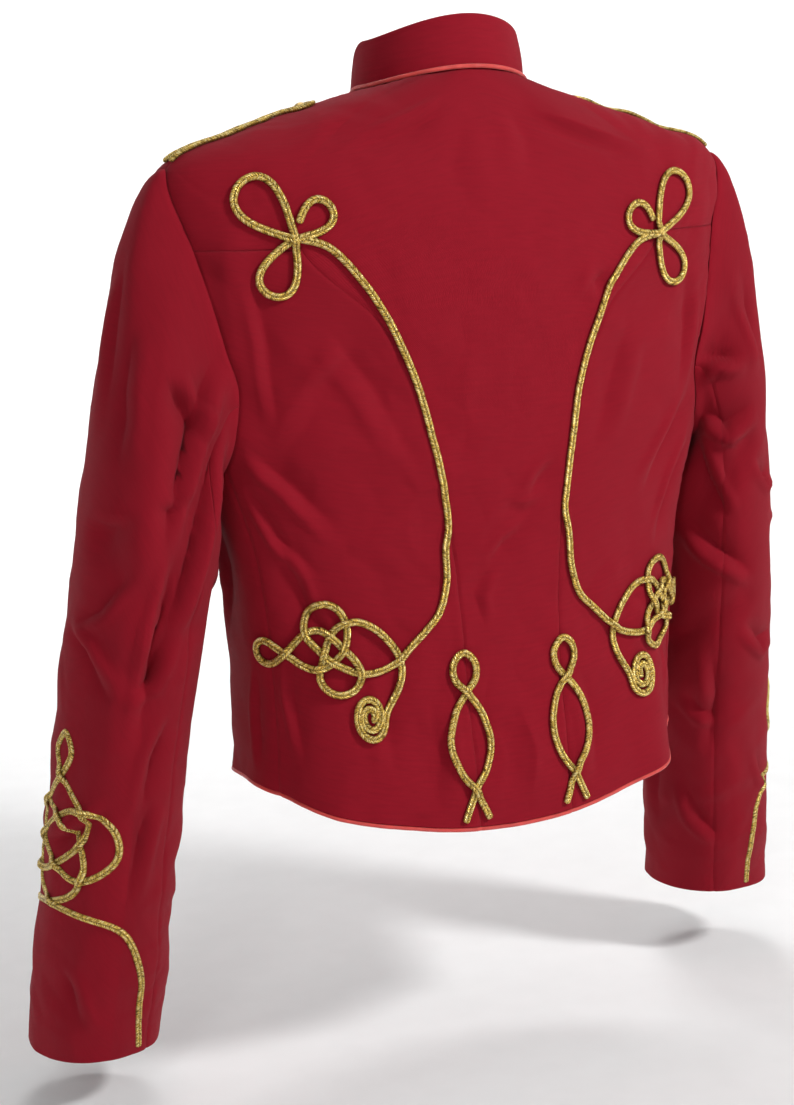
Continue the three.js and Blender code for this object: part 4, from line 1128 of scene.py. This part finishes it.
# ---------------------------------------------------------------- places on the cloth
def angle_at_arc(ring, distance, limit):
    """The angle at which a horizontal ring has run the given distance from its start."""
    angles = np.arange(0, limit + 1.0)
    sign = 1 if distance >= 0 else -1
    return sign * float(np.interp(sign * distance, run_along(ring(sign * angles)[:, :2]), angles))


def row_at_height(angle, z):
    """The row of the body at which a height is reached, by halving."""
    low, high = np.zeros(np.shape(z)), np.full(np.shape(z), float(NECK))
    for _ in range(24):
        row = (low + high) / 2
        below = plain_body(angle, row)[..., 2] < z
        low, high = np.where(below, row, low), np.where(below, high, row)
    return low


def on_body(side):
    """Finds angles and rows for a route of distances from the centre back and heights."""
    def place(route):
        across, height = route[:, 0], route[:, 1]
        row, angle = np.full(len(route), 4.0), np.zeros(len(route))
        for _ in range(5):
            angle = np.array([angle_at_arc(lambda a: plain_body(a, r), d, 170)
                              for r, d in zip(row, side * across)])
            row = row_at_height(angle, height)
        return angle, row
    return place


def on_sleeve(arm):
    """Finds turns and rows for a route of distances from the outer line and heights above the cuff."""
    table = np.array(ARMS[arm], float)[:, 0]
    turned, rise = CUFF_SET[arm]

    def place(route):
        across, above = route[:, 0], route[:, 1]
        up = above + rise * np.clip(above / CUFF_EASE, 0, 1)
        row = np.interp(-(table[-1] + up), -table, np.arange(len(table)))
        turn = np.array([angle_at_arc(lambda a: sleeve_tube(arm, a, 0 * a + r), d, 175)
                         for r, d in zip(row, across)])
        return turn + turned, row + 1
    return place


def on_shoulder(side):
    """Finds angles and rows for a route beside the shoulder seam, from its outer end."""
    rows = np.linspace(SHOULDER, NECK, 400)
    run = run_along(plain_body(90.0, rows))

    def place(route):
        row = np.interp(route[:, 1], run, rows)
        degree = np.linalg.norm(plain_body(90.0, row) - plain_body(89.0, row), axis=-1)
        return side * (90 - route[:, 0] / degree), row
    return place


# ---------------------------------------------------------------- cords
def smooth_route(points, step):
    """Centripetal Catmull-Rom through flat points, sampled at an even spacing."""
    p = np.array(points, float)
    p = np.concatenate([[2 * p[0] - p[1]], p, [2 * p[-1] - p[-2]]])
    fine = []
    for k in range(1, len(p) - 2):
        a, b, c, d = p[k - 1:k + 3]
        t0, t1 = 0.0, max(np.linalg.norm(b - a) ** 0.5, 1e-4)
        t2 = t1 + max(np.linalg.norm(c - b) ** 0.5, 1e-4)
        t3 = t2 + max(np.linalg.norm(d - c) ** 0.5, 1e-4)
        t = np.linspace(t1, t2, 24, endpoint=False)[:, None]
        ab = (t1 - t) / (t1 - t0) * a + (t - t0) / (t1 - t0) * b
        bc = (t2 - t) / (t2 - t1) * b + (t - t1) / (t2 - t1) * c
        cd = (t3 - t) / (t3 - t2) * c + (t - t2) / (t3 - t2) * d
        abc = (t2 - t) / (t2 - t0) * ab + (t - t0) / (t2 - t0) * bc
        bcd = (t3 - t) / (t3 - t1) * bc + (t - t1) / (t3 - t1) * cd
        fine.append((t2 - t) / (t2 - t1) * abc + (t - t1) / (t2 - t1) * bcd)
    fine = np.concatenate(fine + [p[-2:-1]])
    run = run_along(fine)
    at = np.linspace(0, run[-1], round(run[-1] / step) + 1)
    return np.stack([np.interp(at, run, fine[:, 0]), np.interp(at, run, fine[:, 1])], axis=1)


def turning(p, q, r):
    """Above 0 where the way from p to q turns left to reach r."""
    return (q[0] - p[0]) * (r[1] - p[1]) - (q[1] - p[1]) * (r[0] - p[0])


def they_cross(a, b, c, d):
    return turning(a, b, c) * turning(a, b, d) < 0 and turning(c, d, a) * turning(c, d, b) < 0


def crossing_lifts(route, step):
    """How high a cord lies at each place, as it passes over and under itself in turn."""
    a, b = route[:-1], route[1:]
    visits = []
    for k in range(len(a)):
        later = np.arange(k + 4, len(a))
        near = later[np.hypot(*(a[later] - a[k]).T) < 3 * step]
        for other in near:
            if they_cross(a[k], b[k], a[other], b[other]):
                visits += [(k + 0.5, (k, other)), (other + 0.5, (k, other))]
    over, first = False, {}
    lift = np.zeros(len(route))
    for at, pair in sorted(visits):
        over = not first[pair] if pair in first else not over
        first.setdefault(pair, over)
        if over:
            away = np.minimum(np.abs(at - np.arange(len(route))) * step, CROSSING_REACH)
            lift = np.maximum(lift, CROSSING_LIFT * np.cos(math.pi * away / CROSSING_REACH / 2) ** 2)
    return lift


def ridge_outline():
    """Outline of a cord with two ridges: sideways and upward shares, and the groove's depth."""
    around = np.radians(CORD_AROUND)
    x, y = np.cos(around), np.sin(around)
    groove = bell(x, 0.2) * (y > 0)
    crown = np.where(y > 0, 0.07 * bell(np.abs(x) - 0.52, 0.25), 0)
    return x, y * (1 - GROOVE_DEPTH * groove) + crown, groove


def smoothed(values, count):
    """Running averages of each column over the given number of rows."""
    padded = np.pad(values, ((count // 2, count // 2), (0, 0)), "edge")
    return np.stack([np.convolve(column, np.ones(count) / count, "valid") for column in padded.T], axis=1)


def cord_line(points, place, cloth):
    """Places, normals and crossing lifts along a cord that follows a route on the cloth."""
    route = smooth_route(points, CAD_CORD_STEP)
    angle, row = place(route)
    lifts = crossing_lifts(smooth_route(points, CROSSING_STEP), CROSSING_STEP)
    share = np.linspace(0, 1, round((len(route) - 1) * CAD_CORD_STEP / settings().cord_step) + 1)
    knots = np.linspace(0, 1, len(route))
    point, normal = cloth(np.interp(share, knots, angle), np.interp(share, knots, row))
    lift = np.interp(share, np.linspace(0, 1, len(lifts)), lifts)
    return smoothed(point, 7), unit(smoothed(normal, 11)), lift


def make_cord(name, points, place, cloth):
    """A braid with two ridges, laid on the cloth along a route and closed at both ends."""
    point, normal, lift = cord_line(points, place, cloth)
    wide, tall = settings().cord_width / 2, settings().cord_height / 2
    centre = point + normal * (tall + CORD_CLEARANCE + lift)[:, None]
    ahead = unit(np.gradient(centre, axis=0))
    across = unit(np.cross(ahead, normal))
    up = unit(np.cross(across, ahead))
    run = run_along(centre)
    x, y, groove = ridge_outline()
    flat_run = np.stack([run, 0 * run, 0 * run], axis=1)
    left, right = (soft_noise(flat_run, 5.0, seed)[:, None] for seed in (3.0, 9.0))
    swell = (1 + UNEVEN * (left * (x > 0) + right * (x < 0))) * rounded_ends(run, 2.0)
    side = wide * np.where(y > 0, x, np.sign(x + 1e-9) * (2 - np.abs(x)))
    bm = bmesh.new()
    add_patch(bm, tube_points(centre, across, up, wide * x * swell, tall * y * swell),
              np.stack(np.broadcast_arrays(run[:, None], side[None]), axis=-1))
    # The groove's depth is kept on each point, and the cord's material uses it to paint shade in the
    # groove.
    depth = bm.verts.layers.float.new("groove")
    for k, v in enumerate(bm.verts):
        v[depth] = groove[k % len(groove)]
    close_tube(bm)
    obj = finish_piece(f"{name}_plait", bm, gold_cord(), name, merge=0.000005)
    print(f"{name}: {run[-1]:.0f} mm")


def petal(heading, length, width):
    """Places round one loop of a trefoil, from and back to its middle."""
    c, s = math.cos(math.radians(heading)), math.sin(math.radians(heading))
    t = np.array(PETAL_SHARES)
    along, aside = length * np.sin(math.pi * t), width / 2 * np.sin(2 * math.pi * t)
    return [tuple(p) for p in np.stack([along * c - aside * s, along * s + aside * c], axis=1)]


def coil_turns():
    """Places along the coil, from its outside in."""
    reach_x, reach_y = COIL["wide"] - COIL["inset"], COIL["tall"] - COIL["inset"]
    total = COIL["turns"] * COIL["steps"]
    turns = []
    for k in range(round(total) + 1):
        size = 1 - (1 - COIL["last"]) * k / total
        angle = 2 * math.pi * k / COIL["steps"]
        turns.append((COIL["across"] - reach_x * size * math.cos(angle),
                      COIL["height"] - reach_y * size * math.sin(angle)))
    return turns


def scroll_route(name):
    """From the trefoil's petals down the princess seam, round the hip knot, to the coil."""
    *middle, turn = TREFOIL[name]
    flower = []
    for heading, length, width in PETALS:
        flower += [(0, 0)] + petal(heading + turn, length, width)
    flower = [(middle[0] + a, middle[1] + b) for a, b in reversed(flower)]
    curve = [(a + share * (middle[0] - TREFOIL_MEAN[0]), b + share * (middle[1] - TREFOIL_MEAN[1]))
             for a, b, share in reversed(CURVE)]
    return flower + [tuple(middle)] + curve + list(HIP_KNOT) + coil_turns()


def eight_route():
    half = [(EIGHT_CENTRE + a, b) for a, b in EIGHT_HALF]
    other = [(EIGHT_CENTRE - a, b) for a, b in reversed(EIGHT_HALF)]
    return half + [(EIGHT_CENTRE, EIGHT_TOP)] + other


def cuff_route():
    return list(CUFF_HALF) + [(0, CUFF_TOP)] + [(-a, b) for a, b in reversed(CUFF_HALF)]


def shoulder_route():
    along = SHOULDER_BUTTON["along"]
    loop = [(SHOULDER_LOOP * math.sin(math.radians(a)), along + SHOULDER_LOOP * math.cos(math.radians(a)))
            for a in (-135, -90, -45, 0, 45, 90, 135)]
    strand = [(SHOULDER_STRANDS, run) for run in (SHOULDER_START, 35, 65, along - 18)]
    return [(-a, b) for a, b in strand] + loop + strand[::-1]


# ---------------------------------------------------------------- buttons
# Shares of a button's radius and height, from the middle of its back to the top of its dome.
BUTTON_PROFILE = ((0.0, 0.12), (0.7, 0.1), (0.93, 0.06), (1.0, 0.2), (0.97, 0.34), (0.88, 0.4),
                  (0.82, 0.38), (0.74, 0.56), (0.6, 0.74), (0.42, 0.88), (0.22, 0.97), (0.0, 1.0))


def turned(profile, steps, merge):
    """A mesh turned round the vertical axis from places that each have a radius and a height."""
    bm = bmesh.new()
    verts = [bm.verts.new((radius, 0, height)) for radius, height in profile]
    edges = [bm.edges.new(pair) for pair in zip(verts, verts[1:])]
    bmesh.ops.spin(bm, geom=verts + edges, axis=(0, 0, 1), cent=(0, 0, 0), angle=2 * math.pi,
                   steps=steps, use_merge=True)
    bmesh.ops.remove_doubles(bm, verts=bm.verts, dist=merge)
    bmesh.ops.recalc_face_normals(bm, faces=bm.faces)
    return bm


def make_button(name, size, point, normal, lift):
    """A domed button with a rolled rim, set on the cloth."""
    r, h = size["radius"] * MM, size["height"] * MM
    bm = turned([(a * r, b * h) for a, b in BUTTON_PROFILE], steps=36, merge=1e-6)
    turn = Vector((0, 0, 1)).rotation_difference(Vector(normal)).to_matrix().to_4x4()
    centre = Vector((point + normal * lift) * MM)
    bmesh.ops.transform(bm, matrix=Matrix.Translation(centre) @ turn, verts=bm.verts)
    obj = finish_piece(f"{name}_gilt", bm, gilt_button(), name, merge=1e-7)


# ---------------------------------------------------------------- studio
FLOOR = {"height": -0.705, "flat": 2.6, "bend": 0.9, "wall": 1.7}       # in metres
CAMERA = {"yaw": 26.9, "pitch": 9.4, "roll": -2.4, "distance": 1405, "target": (0, 40, -300),
          "slide": (-43, -12), "lens": 64.41, "shift": (-0.0172, -0.024)}


def camera_axes():
    yaw, pitch, roll = (math.radians(CAMERA[k]) for k in ("yaw", "pitch", "roll"))
    ahead = Vector((-math.sin(yaw) * math.cos(pitch), -math.cos(yaw) * math.cos(pitch), -math.sin(pitch)))
    right = ahead.cross(Vector((0, 0, 1))).normalized()
    up = right.cross(ahead)
    c, s = math.cos(roll), math.sin(roll)
    return ahead, right * c + up * s, up * c - right * s


def make_camera():
    ahead, right, up = camera_axes()
    place = (Vector(CAMERA["target"]) - ahead * CAMERA["distance"]
             + right * CAMERA["slide"][0] + up * CAMERA["slide"][1]) * MM
    data = bpy.data.cameras.new("studio_camera")
    data.lens = CAMERA["lens"]
    data.sensor_width = 36
    data.shift_x, data.shift_y = CAMERA["shift"]
    data.clip_start, data.clip_end = 0.05, 60
    camera = bpy.data.objects.new("studio_camera", data)
    camera.matrix_world = Matrix.Translation(place) @ Matrix((right, up, -ahead)).transposed().to_4x4()
    bpy.context.scene.collection.objects.link(camera)
    bpy.context.scene.camera = camera


def make_light(name, place, size, power, aim=(0, 0.02, -0.33)):
    data = bpy.data.lights.new(name, "AREA")
    data.shape = "DISK"
    data.size = size
    data.energy = power
    light = bpy.data.objects.new(name, data)
    ahead = Vector(aim) - Vector(place)
    turn = ahead.to_track_quat("-Z", "Y").to_matrix().to_4x4()
    light.matrix_world = Matrix.Translation(Vector(place)) @ turn
    bpy.context.scene.collection.objects.link(light)


def make_floor():
    """A round floor of pale paper that curves up into a wall."""
    n = Nodes("studio_paper")
    grain = n.noise(n.place("Object"), 30.0, 2.0)
    tone = n.ramp(grain, ((0.3, (0.93, 0.93, 0.93)), (0.7, (0.95, 0.95, 0.95))))
    n.link(tone, n.surface.inputs["Base Color"])
    n.surface.inputs["Roughness"].default_value = 0.95
    flat, bend, low = FLOOR["flat"], FLOOR["bend"], FLOOR["height"]
    profile = [(0.0, low), (1.2, low), (flat, low)]
    profile += [(flat + bend * math.sin(a), low + bend - bend * math.cos(a))
                for a in np.radians((15, 30, 45, 60, 75, 90))]
    profile += [(flat + bend, low + FLOOR["wall"])]
    bm = turned(profile, steps=96, merge=1e-5)
    if sum(f.normal.z * f.calc_area() for f in bm.faces) < 0:
        bmesh.ops.reverse_faces(bm, faces=bm.faces)
    put_in_scene("studio_floor", bm, n.material)


def make_world():
    bpy.context.scene.view_settings.view_transform = "Standard"
    world = bpy.data.worlds.new("studio_air")
    world.use_nodes = True
    back = world.node_tree.nodes["Background"]
    back.inputs["Color"].default_value = (1.0, 1.0, 1.0, 1)
    back.inputs["Strength"].default_value = 0.24
    bpy.context.scene.world = world


# ---------------------------------------------------------------- settings, operators and panel
class JacketSettings(bpy.types.PropertyGroup):
    """Sizes and colours of the jacket, with lengths in millimetres."""

    cloth: bpy.props.FloatProperty(
        name="Cloth", description="Thickness of a panel in millimetres",
        default=2.0, min=1.0, max=3.0)
    crease_depth: bpy.props.FloatProperty(
        name="Crease Depth", description="How deep the creases are, against the depths in the tables",
        default=2.7, min=0.0, max=4.0)
    mesh_step: bpy.props.FloatProperty(
        name="Cloth Step", description="Spacing of the cloth's mesh in millimetres",
        default=2.5, min=1.5, max=8.0)
    cord_step: bpy.props.FloatProperty(
        name="Cord Step", description="Spacing of the cord's mesh in millimetres",
        default=0.8, min=0.4, max=3.0)
    cord_width: bpy.props.FloatProperty(
        name="Cord Width", description="Width of the gold cord in millimetres",
        default=5.2, min=3.0, max=8.0)
    cord_height: bpy.props.FloatProperty(
        name="Cord Height", description="Height of the gold cord in millimetres",
        default=3.4, min=2.0, max=6.0)
    drill_colour: bpy.props.FloatVectorProperty(
        name="Drill", description="Colour of the cotton drill",
        subtype="COLOR", size=3, min=0, max=1, default=(0.28, 0.0052, 0.016))
    piping_colour: bpy.props.FloatVectorProperty(
        name="Piping", description="Colour of the satin piping",
        subtype="COLOR", size=3, min=0, max=1, default=(0.74, 0.065, 0.055))
    cord_colour: bpy.props.FloatVectorProperty(
        name="Cord", description="Colour of the metal yarn",
        subtype="COLOR", size=3, min=0, max=1, default=(0.93, 0.56, 0.085))
    gilt_colour: bpy.props.FloatVectorProperty(
        name="Gilt", description="Colour of the buttons",
        subtype="COLOR", size=3, min=0, max=1, default=(0.83, 0.58, 0.22))


class JACKET_OT_studio(bpy.types.Operator):
    """Sets up the pale floor, the soft lights and the camera"""

    bl_idname = "jacket.studio"
    bl_label = "Studio"

    def execute(self, context):
        make_camera()
        make_floor()
        make_world()
        make_light("key_light", (-0.95, 1.4, 0.95), 0.35, 29.5)
        make_light("fill_light", (1.5, 1.9, 0.9), 0.5, 8)
        make_light("top_light", (0.2, -0.5, 2.0), 1.4, 4)
        make_light("front_light", (0.9, -2.1, 0.7), 1.5, 4)
        make_light("backdrop_light", (-0.6, -1.5, 1.9), 1.2, 60, aim=(-1.6, -3.2, -0.3))
        return {"FINISHED"}


class JACKET_OT_body(bpy.types.Operator):
    """Makes the back, the side bodies and the fronts"""

    bl_idname = "jacket.body"
    bl_label = "Body Panels"

    def execute(self, context):
        step = settings().mesh_step
        make_back_centre(step)
        for name, side in SIDES.items():
            make_side_back(name, side, step)
            make_front(name, side, FRONT_COARSENESS * step)
        return {"FINISHED"}


class JACKET_OT_sleeves(bpy.types.Operator):
    """Makes the upper and under sleeves"""

    bl_idname = "jacket.sleeves"
    bl_label = "Sleeves"

    def execute(self, context):
        for arm in SIDES:
            make_sleeve(arm, settings().mesh_step)
        return {"FINISHED"}


class JACKET_OT_collar(bpy.types.Operator):
    """Makes the stand collar"""

    bl_idname = "jacket.collar"
    bl_label = "Collar"

    def execute(self, context):
        make_collar(settings().mesh_step)
        return {"FINISHED"}


class JACKET_OT_front_stand(bpy.types.Operator):
    """Makes the overlapping front edge"""

    bl_idname = "jacket.front_stand"
    bl_label = "Front Stand"

    def execute(self, context):
        make_front_stand(settings().mesh_step)
        return {"FINISHED"}


class JACKET_OT_piping(bpy.types.Operator):
    """Makes the piping of the collar seam and the hem"""

    bl_idname = "jacket.piping"
    bl_label = "Piping"

    def execute(self, context):
        for name, (centres, across) in piping_places().items():
            make_piping(name, centres, across)
        return {"FINISHED"}


class JACKET_OT_back_cords(bpy.types.Operator):
    """Lays the scrolls and the figure-eight loops on the back"""

    bl_idname = "jacket.back_cords"
    bl_label = "Back Cords"

    def execute(self, context):
        for name, side in SIDES.items():
            make_cord(f"back_scroll_{name}", scroll_route(name), on_body(side), body_cloth)
            make_cord(f"back_eight_{name}", eight_route(), on_body(side), body_cloth)
        return {"FINISHED"}


class JACKET_OT_cuff_knots(bpy.types.Operator):
    """Lays the knots over the cuffs"""

    bl_idname = "jacket.cuff_knots"
    bl_label = "Cuff Knots"

    def execute(self, context):
        for arm in SIDES:
            make_cord(f"cuff_knot_{arm}", cuff_route(), on_sleeve(arm),
                      lambda turn, row: sleeve_cloth(arm, turn, row))
        return {"FINISHED"}


class JACKET_OT_shoulder_cords(bpy.types.Operator):
    """Lays the doubled cords along the shoulders"""

    bl_idname = "jacket.shoulder_cords"
    bl_label = "Shoulder Cords"

    def execute(self, context):
        for name, side in SIDES.items():
            make_cord(f"shoulder_cord_{name}", shoulder_route(), on_shoulder(side), body_cloth)
        return {"FINISHED"}


class JACKET_OT_buttons(bpy.types.Operator):
    """Makes the gilt buttons of the front and the shoulders"""

    bl_idname = "jacket.buttons"
    bl_label = "Buttons"

    def execute(self, context):
        size = FRONT_BUTTONS
        heights = np.linspace(size["top"], size["bottom"], size["count"])
        rows = row_at_height(np.full(len(heights), 180.0), heights)
        for k, row in enumerate(rows):
            normal = normals_of(folded_body, 180.0, row, NECK)
            make_button(f"front_button_{k + 1}", size, folded_body(180.0, row), normal,
                        settings().cloth + size["lift"])
        for name, side in SIDES.items():
            angle, row = on_shoulder(side)(np.array([[0.0, SHOULDER_BUTTON["along"]]]))
            point, normal = body_cloth(angle, row)
            make_button(f"shoulder_button_{name}", SHOULDER_BUTTON, point[0], normal[0],
                        SHOULDER_BUTTON["lift"])
        return {"FINISHED"}


OPERATORS = (JACKET_OT_studio, JACKET_OT_body, JACKET_OT_sleeves, JACKET_OT_collar, JACKET_OT_front_stand,
             JACKET_OT_piping, JACKET_OT_back_cords, JACKET_OT_cuff_knots, JACKET_OT_shoulder_cords,
             JACKET_OT_buttons)


class JACKET_PT_panel(bpy.types.Panel):
    """Lists the jacket's sizes, colours and pieces"""

    bl_label = "Hussar Jacket"
    bl_idname = "JACKET_PT_panel"
    bl_space_type = "VIEW_3D"
    bl_region_type = "UI"
    bl_category = "Jacket"

    def draw(self, context):
        for name in JacketSettings.__annotations__:
            self.layout.prop(context.scene.hussar_jacket, name)
        for operator in OPERATORS:
            self.layout.operator(operator.bl_idname)


CLASSES = (JacketSettings, *OPERATORS, JACKET_PT_panel)


def register():
    for cls in CLASSES:
        bpy.utils.register_class(cls)
    bpy.types.Scene.hussar_jacket = bpy.props.PointerProperty(type=JacketSettings)


def unregister():
    del bpy.types.Scene.hussar_jacket
    for cls in reversed(CLASSES):
        bpy.utils.unregister_class(cls)


def main():
    register()
    for operator in OPERATORS:
        group, name = operator.bl_idname.split(".")
        getattr(getattr(bpy.ops, group), name)()


if __name__ == "__main__":
    main()
